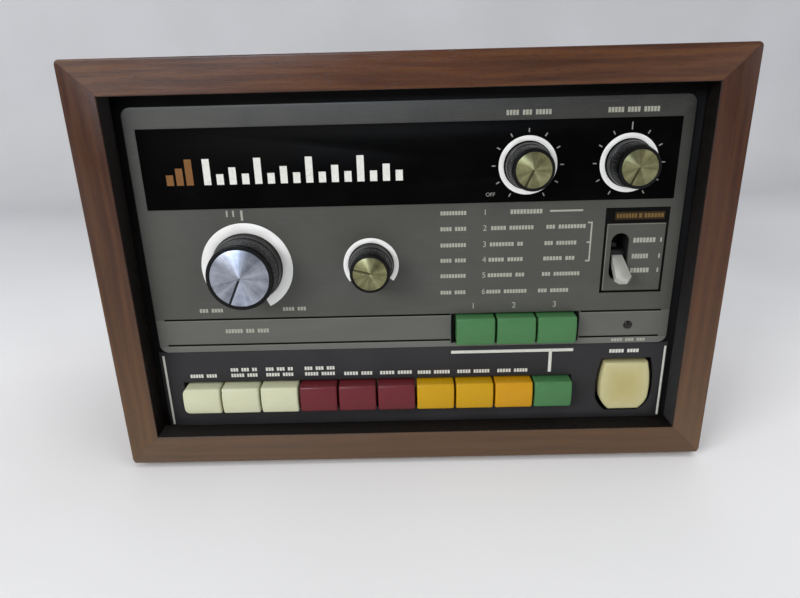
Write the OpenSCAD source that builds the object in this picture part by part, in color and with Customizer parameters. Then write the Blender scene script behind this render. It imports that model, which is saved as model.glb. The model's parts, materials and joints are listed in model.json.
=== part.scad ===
// A table-top drum machine: a mitred wooden sleeve around a steel chassis that carries
// a fascia with four rotary controls, a row of ten keys, three more keys above it, a
// start key, a lever switch and a lamp. Millimetres. +Z is up and the front faces -Y.
// The origin is the middle of the footprint, on the surface that the feet stand on.

/* [Case] */
// Width of the wooden case
case_w = 280; // [270:1:320]
// Height of the wooden case, without its feet
case_h = 188; // [184:1:215]
// Depth of the wooden case from front to back
case_d = 150; // [140:1:200]
// Thickness of the case boards
board_t = 14.5; // [11:0.5:17]
// Radius of the outer long edges where two boards meet
corner_r = 2; // [1:0.5:8]
// Side of the square glue blocks in the rear corners
block_side = 15; // [12:1:18]
// Length of the glue blocks
block_l = 24; // [15:1:35]
// Height of the rubber feet
foot_h = 3; // [2:0.5:10]
// Diameter of the rubber feet
foot_d = 18; // [12:1:24]
// Distance from a side of the case to the middle of a foot
foot_inset = 50; // [20:1:60]
// Distance from the front or the back of the case to the middle of a foot
foot_setback = 22; // [14:1:40]

/* [Front panel] */
// How far the fascia lies behind the front edge of the case
panel_recess = 9; // [4:0.5:14]
// Width of the black border between the case and the fascia
surround_gap = 4.8; // [3:0.2:7]
// Thickness of the fascia plate
fascia_t = 2; // [1:0.1:3]
// Radius of the fascia's corners
fascia_r = 4; // [1:0.5:8]
// Thickness of the chassis and the rear panel
sheet_t = 1.5; // [1:0.1:2.5]
// Height of the black key plate below the fascia
key_plate_h = 41.2; // [38:0.1:44]
// Thickness of the key plate
key_plate_t = 1.2; // [0.8:0.1:1.8]
// How far the key plate reaches past the fascia at each side
key_plate_out = 1.6; // [0:0.1:2.4]
// Height of the black title plate
title_h = 34.8; // [30:0.1:38]
// Fascia left showing above the title plate
title_drop = 9; // [6:0.1:11]
// Fascia left showing at each side of the title plate
title_margin = 5; // [3:0.1:9]
// Thickness of the title plate
title_t = 0.4; // [0.3:0.1:0.8]
// Gap between two plates that lie side by side
seam = 0.3; // [0.1:0.05:0.6]

/* [Knobs] */
// Tempo knob's axis, from the left edge of the fascia
tempo_inset = 46.2; // [40:0.1:50]
// Selector knob's axis, from the left edge of the fascia
selector_inset = 102.7; // [90:0.1:110]
// Distance from the lower edge of the title plate down to these two axes
main_row = 27.4; // [24:0.1:34]
// Volume knob's axis, from the right edge of the fascia
volume_inset = 69.5; // [60:0.1:76]
// Balance knob's axis, from the right edge of the fascia
balance_inset = 26.1; // [22:0.1:32]
// Height of these two axes below the middle of the title plate
upper_row_drop = 1.5; // [0:0.1:3]
// Diameter of the tempo knob at its base
tempo_d = 31.6; // [26:0.1:34]
// Diameter of the tempo knob at its top
tempo_top_d = 29.4; // [25:0.1:31]
// Height of the tempo knob's face above the fascia
tempo_h = 16; // [14.5:0.1:22]
// Diameter of the tempo knob's inlaid disc
tempo_disc_d = 25.8; // [20:0.1:27.5]
// Diameter of a small knob at its base
small_d = 20; // [18:0.1:22]
// Diameter of a small knob at its top
small_top_d = 17.6; // [16.4:0.1:19]
// Height of a small knob's face above the plate
small_h = 14; // [13:0.1:20]
// Diameter of a small knob's inlaid disc
small_disc_d = 15; // [12:0.1:15.6]
// Thickness of the inlaid discs
disc_t = 0.8; // [0.5:0.1:1.2]
// Width of the white ring around the tempo knob
tempo_ring_w = 4.6; // [2:0.1:6]
// Width of the white ring around a small knob
small_ring_w = 2.2; // [1:0.1:4]
// Gap between a knob's base and the ring around it
ring_gap = 0.4; // [0.3:0.1:1]
// Where the tempo knob's ring ends on each side of the bottom, in degrees
tempo_ring_end = 25; // [0:1:60]
// Where the selector knob's ring ends on each side of the bottom, in degrees
selector_ring_end = 52; // [0:1:70]
// Thickness of the white rings
ring_t = 0.5; // [0.3:0.1:0.8]
// Gap between a knob's base and the plate behind it
knob_lift = 0.9; // [0.5:0.1:1.5]
// Turn of a potentiometer from stop to stop, in degrees
pot_turn = 310; // [270:5:320]
// Turn of the selector from its first to its last place, in degrees
selector_turn = 150; // [90:30:180]

/* [Shafts and bushings] */
// Diameter of the control shafts
shaft_d = 6; // [5:0.05:6.35]
// Radial gap of a shaft or pin that turns in a bore
run_gap = 0.05; // [0.02:0.01:0.1]
// Outer diameter of the control bushings
bushing_d = 9; // [8:0.1:10]
// Radial gap of a fixed piece in its hole
hole_gap = 0.25; // [0.1:0.05:0.5]
// Width across the flats of the control nuts
nut_af = 12; // [11:0.1:12.6]
// Thickness of the control nuts
nut_t = 2; // [1.5:0.1:2.5]
// Diameter of a potentiometer's can
can_d = 24; // [20:0.5:26]
// Depth of a potentiometer's can
can_l = 11; // [10:0.5:16]

/* [Keys] */
// Gap between the last key of the lower row and the start key
row_gap = 14.3; // [8:0.1:24]
// Gap between two keys
key_gap = 1; // [0.6:0.1:1.6]
// Height of a key
key_h = 13.5; // [11:0.1:15]
// How far a key stands out of the fascia
key_proud = 6; // [5:0.1:9]
// Travel of a key when it is pressed
key_travel = 3.5; // [2:0.1:4.5]
// Wall of a hollow key
key_wall = 1.8; // [1.2:0.1:2.4]
// Edge of the key plate to the first key
key_row_inset = 10.8; // [8:0.1:14]
// Height of the lower keys' middle above the bottom board
low_row = 16.9; // [16:0.1:20]
// Height of the upper keys' middle above the lower edge of the fascia
high_row = 9.3; // [9:0.1:12]
// Number of keys in the lower row
low_keys = 10; // [10:1:10]
// Number of keys in the upper row
high_keys = 3; // [3:1:3]
// Gap around the keys in their openings
slot_gap = 0.8; // [0.5:0.1:1.2]
// Gap beside the end keys of the upper row, in the fascia
high_end_gap = 2.2; // [0.8:0.1:2.6]
// Width of a key's stem
stem_w = 6; // [4:0.5:8]
// Height of a key's stem
stem_h = 4; // [3:0.5:5]
// Gap around a stem in its guides
stem_gap = 0.3; // [0.2:0.05:0.5]
// Width of the start key across the middle of its curved sides
start_w = 25; // [22:0.1:27]
// How far each side of the start key curves out
start_bulge = 1.7; // [0.8:0.1:2.4]
// Height of the start key
start_h = 25.8; // [22:0.1:27]
// Width of the start key's straight lower edge, between its round corners
start_flat = 15; // [8:0.5:18]
// Gap around the start key in its opening
start_gap = 1.3; // [0.8:0.1:2]
// How far the start key's lower edge stands out of the key plate
start_proud = 2.4; // [1:0.1:6]
// How much less its upper edge stands out
start_slope = 1; // [0.4:0.1:3]
// Start key's middle, from the right edge of the key plate
start_inset = 19.1; // [17:0.1:21]
// Height of the start key's middle above the bottom board
start_row = 18.5; // [17:0.1:21]

/* [Lever switch and lamp] */
// Lever's middle, from the right edge of the fascia
lever_inset = 26.2; // [22:0.1:30]
// How far the lever's pivot lies below the middle between the lamp and the balance knob's axis
lever_row = 4.4; // [3:0.1:6]
// Length of the lever from its pivot to its tip
lever_l = 18; // [15:0.1:22]
// Width of the lever where it leaves its pivot
lever_root_w = 4.4; // [3:0.1:6]
// Width of the lever at its tip
lever_tip_w = 7; // [5:0.1:8]
// Thickness of the lever
lever_t = 3.2; // [2:0.1:4]
// Swing of the lever from its lowest to its highest place, in degrees
lever_swing = 58; // [40:2:60]
// Diameter of the lever's pivot pin
pivot_d = 3; // [2:0.1:3.4]
// Distance from the chassis back to the lever's pivot
pivot_back = 3; // [2.8:0.1:5]
// Width of the lever's slot
lever_slot_w = 8.1; // [7.6:0.1:9.5]
// Height of the lever's slot
lever_slot_h = 22; // [19:0.1:25]
// Diameter of the lamp
lamp_d = 3.6; // [3:0.1:5]
// Lamp's middle, from the right edge of the fascia
lamp_inset = 19; // [16:0.1:24]

/* [Rear] */
// How far the rear panel lies inside the back of the case
rear_recess = 8; // [7:0.5:14]
// Gap between the rear panel and the boards
rear_gap = 0.4; // [0.2:0.1:0.8]
// Height of the sockets and the inlet above the bottom board
rear_row = 36; // [30:1:60]
// First jack's axis, from the left side of the case
jack_x = 48; // [42:1:60]
// Distance between the two jacks
jack_pitch = 30; // [24:1:36]
// Diameter of a jack's bore
jack_bore_d = 6.4; // [6.3:0.05:6.6]
// Diameter of a jack's bushing
jack_bushing_d = 9.6; // [9:0.1:11]
// Inlet's middle, from the right side of the case
inlet_x = 56; // [50:1:66]
// Fuse holder's axis, from the right side of the case
fuse_x = 92; // [86:1:100]
// Number of vent slots
vents = 13; // [7:1:15]
// Distance between two vent slots
vent_pitch = 8; // [7:0.5:12]
// Length of a vent slot
vent_l = 34; // [20:1:50]

/* [Hidden] */
$fn = 96;

// Inside of the sleeve
inner_w = case_w - 2 * board_t;
inner_x = inner_w / 2;
base_z = foot_h;
floor_z = base_z + board_t;
ceiling_z = base_z + case_h - board_t;

// Planes from front to back
lever_reach = lever_l * cos(lever_swing / 2) + lever_t / 2 * sin(lever_swing / 2)
    - (fascia_t + sheet_t + pivot_back);
start_reach = start_proud - (fascia_t - key_plate_t);
front_reach = max(tempo_h, small_h + title_t, start_reach, key_proud, lever_reach) - panel_recess;
front_y = (front_reach - case_d) / 2;
back_y = front_y + case_d;
fascia_y = front_y + panel_recess;
title_y = fascia_y - title_t;
chassis_y = fascia_y + fascia_t;
key_plate_y = chassis_y - key_plate_t;
behind_y = chassis_y + sheet_t;
rear_out_y = back_y - rear_recess;
rear_in_y = rear_out_y - sheet_t;

// Fascia and its plates
fascia_x = inner_x - surround_gap;
fascia_z0 = floor_z + key_plate_h;
key_plate_x = fascia_x + key_plate_out;
fascia_z1 = ceiling_z - surround_gap;
title_x = fascia_x - title_margin;
title_z1 = fascia_z1 - title_drop;
title_z0 = title_z1 - title_h;

// Control axes
tempo_x = tempo_inset - fascia_x;
selector_x = selector_inset - fascia_x;
main_z = title_z0 - main_row;
volume_x = fascia_x - volume_inset;
balance_x = fascia_x - balance_inset;
upper_z = (title_z0 + title_z1) / 2 - upper_row_drop;

// Control parts behind and in front of the plates
nut_stand = 1.4;
bore_r = shaft_d / 2 + run_gap;
knob_bore_r = shaft_d / 2 + run_gap;
knob_cavity_r = nut_af / sqrt(3) + 0.4;
knob_cavity_l = nut_t + nut_stand + 1;
shaft_short = 2.4;
can_wall = 2;
wiper_t = 1.5;
lug_w = 1.6;
lug_l = 6;
lug_t = 0.6;
lug_pitch = 5;
power_switch_l = 9;
wafer_side = 28;
wafer_l = 15;

// Keys; the lower row fills the room from its left end to the start key
start_x = key_plate_x - start_inset;
row_x0 = -key_plate_x + key_row_inset;
row_x1 = start_x - start_w / 2 - row_gap;
key_pitch = (row_x1 - row_x0 + key_gap) / low_keys;
key_w = key_pitch - key_gap;
low_z = floor_z + low_row;
high_z = fascia_z0 + high_row;
key_r = 0.8;
end_key_r = 2.6;
skirt_l = 3;
skirt_y = behind_y + skirt_l;
bank_y = skirt_y + key_travel + 1;
guide_t = 1.2;
switch_y = bank_y + guide_t;
switch_l = 24;
switch_gap = 2.7;
switch_w = key_pitch - switch_gap;
switch_h = 11;
switch_end = 2;
stem_end_y = switch_y + switch_l - switch_end - key_travel - 1;
bank_h = 17;
leg_w = 4.5;
start_z = floor_z + start_row;
start_side_r = (pow(start_h / 2, 2) + pow(start_bulge, 2)) / (2 * start_bulge);
start_low_r = start_w / 2 + 0.2;
start_low_z = sqrt(pow(start_low_r, 2) - pow(start_flat / 2, 2)) - start_h / 2;
start_stem_w = 8;
start_switch_w = 20;
start_switch_h = 12;

// Lever and lamp
lever_x = fascia_x - lever_inset;
lever_z = (high_z + upper_z) / 2 - lever_row;
pivot_y = behind_y + pivot_back;
lever_side_wall = 3.45;
lever_end_wall = 3;
lever_body_w = lever_slot_w + 2 * lever_side_wall;
lever_body_h = lever_slot_h + 2 * lever_end_wall;
lever_body_l = 20;
lever_room_l = 13;
lever_hub_r = pivot_d / 2 + 1.1;
lever_side_gap = 0.3;
lever_tail_l = 6;
lever_tail_w = 3;
lever_tail_t = 2;
lamp_x = fascia_x - lamp_inset;
lamp_dome = 0.9;
lamp_flange_r = lamp_d / 2 + 1.2;
lamp_tail_l = 8;

// Fixings
screw_r = 2;
screw_head_r = 4;
screw_head_t = 2.4;
screw_x = 60;
screw_setback = 34;
counterbore = 4;
wood_screw_r = 1.6;
wood_screw_l = 16;
wood_head_r = 3.4;
wood_head_t = 1.8;

// Chassis tray
tray_x = inner_x - block_side - 3;
tray_lip = 12;
top_lip = 14;

// Rear fittings
rear_z = floor_z + rear_row;
inlet_mid = case_w / 2 - inlet_x;
fuse_mid = case_w / 2 - fuse_x;
jack_stand = 3;
jack_nut_af = 14;
jack_nut_t = 2;
jack_body_w = 18;
jack_body_h = 16;
jack_body_l = 28;
jack_bore_l = 29;
inlet_flange_w = 34;
inlet_flange_h = 16;
inlet_flange_t = 2;
inlet_body_w = 24;
inlet_body_h = 14;
inlet_body_l = 20;
socket_w = 17;
socket_h = 9;
socket_l = 14;
pin_r = 1.2;
pin_pitch = 8.6;
pin_l = 10;
fuse_r = 6;
fuse_body_l = 30;
fuse_rim_r = 8;
fuse_rim_t = 2;
fuse_cap_r = 5;
fuse_cap_t = 3;
vent_w = 3;
vent_z = ceiling_z - 40;

// Inner boards and the transformer
tray_z = floor_z + sheet_t;
board_gap = 8;
pcb_t = 1.6;
pcb_margin = 6;
pcb_x0 = pcb_margin - tray_x;
pcb_y0 = stem_end_y + key_travel + 14;
pcb_y1 = rear_in_y - 12;
pcb_z = tray_z + board_gap;
standoff_r = 3;
pcb_inset = 6;
chip_w = 7;
chip_l = 19;
chip_t = 4;
chip_count = 5;
chip_margin = 24;
chip_setback = 12;
cap_r = 4.5;
cap_h = 11;
cap_count = 6;
cap_margin = 21.25;
cap_setback = 16;
core_margin = 3.5;
core_foot_l = 8;
core_y = (pcb_y0 + rear_in_y - inlet_body_l) / 2;
core_w = 48;
core_l = 18;
core_h = 40;
core_window_w = 32;
core_window_h = 24;
core_foot = 3;
core_x = tray_x - core_margin - core_foot_l - core_w / 2;
core_room = 4;
pcb_x1 = core_x - core_w / 2 - core_foot_l - core_room;
limb_w = 14;
coil_l = 34;
coil_gap = 0.3;

// Draws a flat shape of X and Z between two planes
module slab(y0, y1) {
    translate([0, y1, 0]) rotate([90, 0, 0]) linear_extrude(y1 - y0) children();
}

// A box between two corners
module box(x0, x1, y0, y1, z0, z1) {
    translate([x0, y0, z0]) cube([x1 - x0, y1 - y0, z1 - z0]);
}

// A round bar along Y
module rod(x, z, y0, y1, r) {
    translate([x, y1, z]) rotate([90, 0, 0]) cylinder(h = y1 - y0, r = r);
}

// A bar along Y that narrows from r0 at y0 to r1 at y1
module taper(x, z, y0, y1, r0, r1) {
    translate([x, y1, z]) rotate([90, 0, 0]) cylinder(h = y1 - y0, r1 = r1, r2 = r0);
}

// A hexagonal bar along Y
module hex_bar(x, z, y0, y1, af) {
    translate([x, y1, z]) rotate([90, 0, 0]) cylinder(h = y1 - y0, r = af / sqrt(3), $fn = 6);
}

// A rectangle between two corners with its own radius at each side: left, right
module round_box(x0, x1, z0, z1, rl, rr) {
    translate([x0, z0 + rl]) square([x1 - x0, z1 - z0 - 2 * rl]);
    translate([x0 + rl, z0]) square([(x1 - x0) / 2 - rl, z1 - z0]);
    translate([(x0 + x1) / 2, z0]) square([(x1 - x0) / 2 - rr, z1 - z0]);
    if (rr < rl) translate([(x0 + x1) / 2, z0 + rr]) square([(x1 - x0) / 2, z1 - z0 - 2 * rr]);
    for (z = [z0 + rl, z1 - rl]) translate([x0 + rl, z]) circle(rl);
    for (z = [z0 + rr, z1 - rr]) translate([x1 - rr, z]) circle(rr);
}

// The end grain of a board: a trapezium with mitred ends, on the top side of the case
module mitre_end(half_w, half_h) {
    polygon([
        [-half_w, half_h], [half_w, half_h],
        [half_w - board_t, half_h - board_t], [board_t - half_w, half_h - board_t]
    ]);
}

// The rounded outline of the whole sleeve
module sleeve_outline() {
    round_box(-case_w / 2, case_w / 2, base_z, base_z + case_h, corner_r, corner_r);
}

// One board of the sleeve; side 0 is the top, 1 the left, 2 the bottom, 3 the right
module sleeve_board(side) {
    slab(front_y, back_y) intersection() {
        sleeve_outline();
        translate([0, base_z + case_h / 2])
            rotate(90 * side)
                mitre_end(
                    (side % 2 == 0 ? case_w : case_h) / 2,
                    (side % 2 == 0 ? case_h : case_w) / 2
                );
    }
}

// Places where the case screws enter
module at_case_screws() {
    for (x = [-screw_x, screw_x], y = [front_y + screw_setback, back_y - screw_setback])
        translate([x, y, 0]) children();
}

// Places where the rear panel's screws enter, as axes in X and Z
function rear_screw_xz() = [
    for (sx = [-1, 1], z = [floor_z + block_side / 2, ceiling_z - block_side / 2])
        [sx * (inner_x - block_side / 2), z]
];

module top_board() {
    color("#5b4030") sleeve_board(0);
}

module left_board() {
    color("#5b4030") sleeve_board(1);
}

module bottom_board() {
    color("#5b4030") difference() {
        sleeve_board(2);
        at_case_screws() {
            translate([0, 0, base_z - 1]) cylinder(h = board_t + 2, r = screw_r + hole_gap);
            translate([0, 0, base_z - 1]) cylinder(h = counterbore + 1, r = screw_head_r + 1);
        }
    }
}

module right_board() {
    color("#5b4030") sleeve_board(3);
}

module glue_blocks() {
    color("#8a6a4a") for (p = rear_screw_xz()) difference() {
        box(
            p[0] - block_side / 2, p[0] + block_side / 2,
            rear_in_y - block_l, rear_in_y,
            p[1] - block_side / 2, p[1] + block_side / 2
        );
        rod(p[0], p[1], rear_out_y - wood_screw_l - 1, rear_in_y + 1, wood_screw_r + run_gap);
    }
}

module feet() {
    color("#1c1c1c")
        for (sx = [-1, 1], y = [front_y + foot_setback, back_y - foot_setback])
            translate([sx * (case_w / 2 - foot_inset), y, 0]) cylinder(h = foot_h, d = foot_d);
}

module case_screws() {
    color("#9a9a96") at_case_screws() {
        translate([0, 0, base_z + counterbore - screw_head_t])
            cylinder(h = screw_head_t, r = screw_head_r);
        translate([0, 0, base_z + counterbore])
            cylinder(h = tray_z + 2 - base_z - counterbore, r = screw_r);
    }
}

module rear_screws() {
    color("#9a9a96") for (p = rear_screw_xz()) {
        rod(p[0], p[1], rear_out_y, rear_out_y + wood_head_t, wood_head_r);
        rod(p[0], p[1], rear_out_y - wood_screw_l, rear_out_y, wood_screw_r);
    }
}

// Opening for a row of keys whose middles lie from x0 to x1, with a gap beside its end keys
module key_slot(x0, x1, z, end_gap) {
    end = key_w / 2 + end_gap;
    translate([x0 - end, z - key_h / 2 - slot_gap])
        square([x1 - x0 + 2 * end, key_h + 2 * slot_gap]);
}

function low_key_x(n) = row_x0 + key_w / 2 + (n - 1) * key_pitch;
function high_key_x(n) = low_key_x(low_keys - high_keys + n);

module low_key_slot() {
    key_slot(low_key_x(1), low_key_x(low_keys), low_z, slot_gap);
}

module high_key_slot(end_gap) {
    key_slot(high_key_x(1), high_key_x(high_keys), high_z, end_gap);
}

// The start key's outline, let out by a gap: curved sides, and one arc across the lower corners
module start_outline(out) {
    half_h = start_h / 2 + out;
    side_x = start_side_r - start_w / 2;
    translate([start_x, start_z]) intersection() {
        translate([side_x, 0]) circle(start_side_r + out);
        translate([-side_x, 0]) circle(start_side_r + out);
        translate([-start_w, -half_h]) square([2 * start_w, 2 * half_h]);
        union() {
            translate([0, start_low_z]) circle(start_low_r + out);
            translate([-start_w, start_low_z]) square([2 * start_w, start_h]);
        }
    }
}

// The lever's slot, with round ends
module lever_slot() {
    reach = (lever_slot_h - lever_slot_w) / 2;
    translate([lever_x - lever_slot_w / 2, lever_z - reach]) square([lever_slot_w, 2 * reach]);
    for (z = [-reach, reach]) translate([lever_x, lever_z + z]) circle(d = lever_slot_w);
}

// Round holes for the bushings; upper takes the two in the title plate
module bushing_holes(upper, lower) {
    r = bushing_d / 2 + hole_gap;
    if (upper) for (x = [volume_x, balance_x]) translate([x, upper_z]) circle(r);
    if (lower) for (x = [tempo_x, selector_x]) translate([x, main_z]) circle(r);
}

module lamp_hole() {
    translate([lamp_x, high_z]) circle(lamp_d / 2 + hole_gap / 2);
}

module chassis() {
    color("#121212") {
        difference() {
            union() {
                slab(chassis_y, behind_y) translate([seam - inner_x, floor_z])
                    square([inner_w - 2 * seam, ceiling_z - floor_z - seam]);
                box(-tray_x, tray_x, chassis_y, rear_in_y, floor_z, tray_z);
                box(-tray_x, tray_x, rear_in_y - sheet_t, rear_in_y, floor_z, tray_z + tray_lip);
                box(
                    -tray_x, tray_x, chassis_y, behind_y + top_lip,
                    ceiling_z - seam - sheet_t, ceiling_z - seam
                );
            }
            slab(chassis_y - 1, behind_y + 1) {
                low_key_slot();
                high_key_slot(slot_gap);
                start_outline(start_gap);
                lever_slot();
                bushing_holes(true, true);
                lamp_hole();
            }
            at_case_screws() translate([0, 0, floor_z - 1])
                cylinder(h = sheet_t + 2, r = screw_r + run_gap);
        }
    }
}

module fascia() {
    color("#555852") slab(fascia_y, chassis_y) difference() {
        round_box(-fascia_x, fascia_x, fascia_z0, fascia_z1, fascia_r, fascia_r);
        high_key_slot(high_end_gap);
        lever_slot();
        bushing_holes(true, true);
        lamp_hole();
    }
}

module key_plate() {
    color("#2e2e33") slab(key_plate_y, chassis_y) difference() {
        translate([-key_plate_x, floor_z + seam])
            square([2 * key_plate_x, fascia_z0 - floor_z - 2 * seam]);
        low_key_slot();
        start_outline(start_gap);
    }
}

module title_plate() {
    color("#0e0e0e") slab(title_y, fascia_y) difference() {
        translate([-title_x, title_z0]) square([2 * title_x, title_h]);
        bushing_holes(true, false);
    }
}

// A white ring on a plate around the base of a knob; end opens it on each side of the bottom
module dial_ring(x, z, y, base_d, w, end) {
    outer_r = base_d / 2 + ring_gap + w;
    slab(y - ring_t, y) translate([x, z]) difference() {
        circle(outer_r);
        circle(base_d / 2 + ring_gap);
        if (end > 0)
            polygon([[0, 0], [-2 * outer_r * tan(end), -2 * outer_r], [2 * outer_r * tan(end), -2 * outer_r]]);
    }
}

module dial_rings() {
    color("#f2f2ee") {
        dial_ring(tempo_x, main_z, fascia_y, tempo_d, tempo_ring_w, tempo_ring_end);
        dial_ring(selector_x, main_z, fascia_y, small_d, small_ring_w, selector_ring_end);
        for (x = [volume_x, balance_x])
            dial_ring(x, upper_z, title_y, small_d, small_ring_w, 0);
    }
}

// The bushing that holds a control in the plates, with its tail at the chassis
module bushing(x, z, y) {
    rod(x, z, y - nut_t - nut_stand, behind_y + can_wall, bushing_d / 2);
}

// The room for a shaft and its wiper inside a control
module shaft_room(x, z, y, room_l) {
    rod(x, z, y - nut_t - nut_stand - 1, behind_y + can_wall + 1, bore_r);
    rod(x, z, behind_y + can_wall, behind_y + can_wall + room_l, can_d / 2 - can_wall);
}

// Three solder lugs under a control
module lugs(x, z, y) {
    for (i = [-1, 0, 1])
        box(
            x + i * lug_pitch - lug_w / 2, x + i * lug_pitch + lug_w / 2,
            y, y + lug_t, z - can_d / 2 - lug_l, z - can_d / 2 + can_wall
        );
}

// One potentiometer behind a plate whose front lies at y; extra is a switch on its back
module potentiometer(x, z, y, extra) {
    difference() {
        union() {
            bushing(x, z, y);
            rod(x, z, behind_y, behind_y + can_l, can_d / 2);
            if (extra > 0) rod(x, z, behind_y + can_l, behind_y + can_l + extra, can_d / 2 - 2);
            lugs(x, z, behind_y + can_wall);
        }
        shaft_room(x, z, y, can_l - 2 * can_wall);
    }
}

module potentiometers() {
    color("#a8a8a4") {
        potentiometer(tempo_x, main_z, fascia_y, 0);
        potentiometer(volume_x, upper_z, title_y, power_switch_l);
        potentiometer(balance_x, upper_z, title_y, 0);
    }
}

module selector_switch() {
    half = wafer_side / 2;
    color("#8f7a4a") difference() {
        union() {
            bushing(selector_x, main_z, fascia_y);
            box(
                selector_x - half, selector_x + half, behind_y, behind_y + wafer_l,
                main_z - half, main_z + half
            );
            lugs(selector_x, main_z, behind_y + wafer_l - can_wall);
        }
        shaft_room(selector_x, main_z, fascia_y, wafer_l - 2 * can_wall);
    }
}

// The nut on a bushing in front of a plate at y
module control_nut(x, z, y) {
    difference() {
        hex_bar(x, z, y - nut_t, y, nut_af);
        rod(x, z, y - nut_t - 1, y + 1, bushing_d / 2 + run_gap);
    }
}

module control_nuts() {
    color("#c8c8c4") {
        for (x = [tempo_x, selector_x]) control_nut(x, main_z, fascia_y);
        for (x = [volume_x, balance_x]) control_nut(x, upper_z, title_y);
    }
}

// A knob of revolution in front of a plate at y, hollow behind, with a seat for its disc
module knob(x, z, y, base_d, top_d, h, disc_d) {
    difference() {
        taper(x, z, y - h, y - knob_lift, top_d / 2, base_d / 2);
        rod(x, z, y - h - 1, y - h + disc_t, disc_d / 2 + run_gap);
        rod(x, z, y - knob_lift - knob_cavity_l, y, knob_cavity_r);
        rod(x, z, y - h + disc_t + shaft_short - 0.4, y, knob_bore_r);
    }
}

// The metal disc in a knob's face, with a pointer groove turned clockwise from the top
module disc(x, z, y, h, disc_d, pointer) {
    groove_w = 0.9;
    groove_t = 0.3;
    difference() {
        rod(x, z, y - h, y - h + disc_t, disc_d / 2);
        translate([x, y - h, z]) rotate([0, pointer, 0])
            box(-groove_w / 2, groove_w / 2, -1, groove_t, 0, disc_d);
    }
}

// A shaft from the wiper inside its control to the knob that it turns
module shaft(x, z, y, h) {
    wiper_y = behind_y + can_wall + 1.5;
    rod(x, z, y - h + disc_t + shaft_short, wiper_y + wiper_t, shaft_d / 2);
    rod(x, z, wiper_y, wiper_y + wiper_t, can_d / 2 - can_wall - 1.5);
}

module tempo_knob() {
    color("#141414") knob(tempo_x, main_z, fascia_y, tempo_d, tempo_top_d, tempo_h, tempo_disc_d);
}

module tempo_disc() {
    color("#b4b4bd") disc(tempo_x, main_z, fascia_y, tempo_h, tempo_disc_d, -pot_turn / 2);
}

module tempo_shaft() {
    color("#b0b0ac") shaft(tempo_x, main_z, fascia_y, tempo_h);
}

module selector_knob() {
    color("#141414") knob(selector_x, main_z, fascia_y, small_d, small_top_d, small_h, small_disc_d);
}

module selector_disc() {
    color("#9a986e") disc(selector_x, main_z, fascia_y, small_h, small_disc_d, -selector_turn / 2);
}

module selector_shaft() {
    color("#b0b0ac") shaft(selector_x, main_z, fascia_y, small_h);
}

module volume_knob() {
    color("#141414") knob(volume_x, upper_z, title_y, small_d, small_top_d, small_h, small_disc_d);
}

module volume_disc() {
    color("#9a986e") disc(volume_x, upper_z, title_y, small_h, small_disc_d, -pot_turn / 2);
}

module volume_shaft() {
    color("#b0b0ac") shaft(volume_x, upper_z, title_y, small_h);
}

module balance_knob() {
    color("#141414") knob(balance_x, upper_z, title_y, small_d, small_top_d, small_h, small_disc_d);
}

module balance_disc() {
    color("#9a986e") disc(balance_x, upper_z, title_y, small_h, small_disc_d, -pot_turn / 2);
}

module balance_shaft() {
    color("#b0b0ac") shaft(balance_x, upper_z, title_y, small_h);
}

// A hollow key with its stem; left_r rounds its two left corners
module key(x, z, left_r) {
    face_y = fascia_y - key_proud;
    difference() {
        slab(face_y, skirt_y)
            round_box(x - key_w / 2, x + key_w / 2, z - key_h / 2, z + key_h / 2, left_r, key_r);
        box(
            x - key_w / 2 + key_wall, x + key_w / 2 - key_wall, face_y + key_wall, skirt_y + 1,
            z - key_h / 2 + key_wall, z + key_h / 2 - key_wall
        );
    }
    box(
        x - stem_w / 2, x + stem_w / 2, face_y + key_wall / 2, stem_end_y,
        z - stem_h / 2, z + stem_h / 2
    );
}

module low_key(n) {
    key(low_key_x(n), low_z, n == 1 ? end_key_r : key_r);
}

module low_key_1() {
    color("#ced3be") low_key(1);
}

module low_key_2() {
    color("#ced3be") low_key(2);
}

module low_key_3() {
    color("#ced3be") low_key(3);
}

module low_key_4() {
    color("#6b2d37") low_key(4);
}

module low_key_5() {
    color("#6b2d37") low_key(5);
}

module low_key_6() {
    color("#6b2d37") low_key(6);
}

module low_key_7() {
    color("#c89a28") low_key(7);
}

module low_key_8() {
    color("#dca028") low_key(8);
}

module low_key_9() {
    color("#e6a01e") low_key(9);
}

module low_key_10() {
    color("#3c8f58") low_key(10);
}

module high_key(n) {
    key(high_key_x(n), high_z, key_r);
}

module high_key_1() {
    color("#3c8f58") high_key(1);
}

module high_key_2() {
    color("#3c8f58") high_key(2);
}

module high_key_3() {
    color("#3c8f58") high_key(3);
}

module start_key() {
    face_y = key_plate_y - start_proud;
    slope = atan(start_slope / start_h);
    color("#beb982") {
        difference() {
            slab(face_y, skirt_y) start_outline(0);
            translate([start_x, face_y, start_z - start_h / 2]) rotate([-slope, 0, 0])
                translate([-start_w, -start_h, -start_h / 2]) cube([2 * start_w, start_h, 2 * start_h]);
            slab(face_y + start_slope + key_wall, skirt_y + 1) start_outline(-key_wall);
        }
        box(
            start_x - start_stem_w / 2, start_x + start_stem_w / 2,
            face_y + start_slope + key_wall / 2, stem_end_y,
            start_z - stem_h / 2, start_z + stem_h / 2
        );
    }
}

// The hole that guides a stem
module guide_hole(x, z, w) {
    translate([x - w / 2 - stem_gap, z - stem_h / 2 - stem_gap])
        square([w + 2 * stem_gap, stem_h + 2 * stem_gap]);
}

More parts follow.
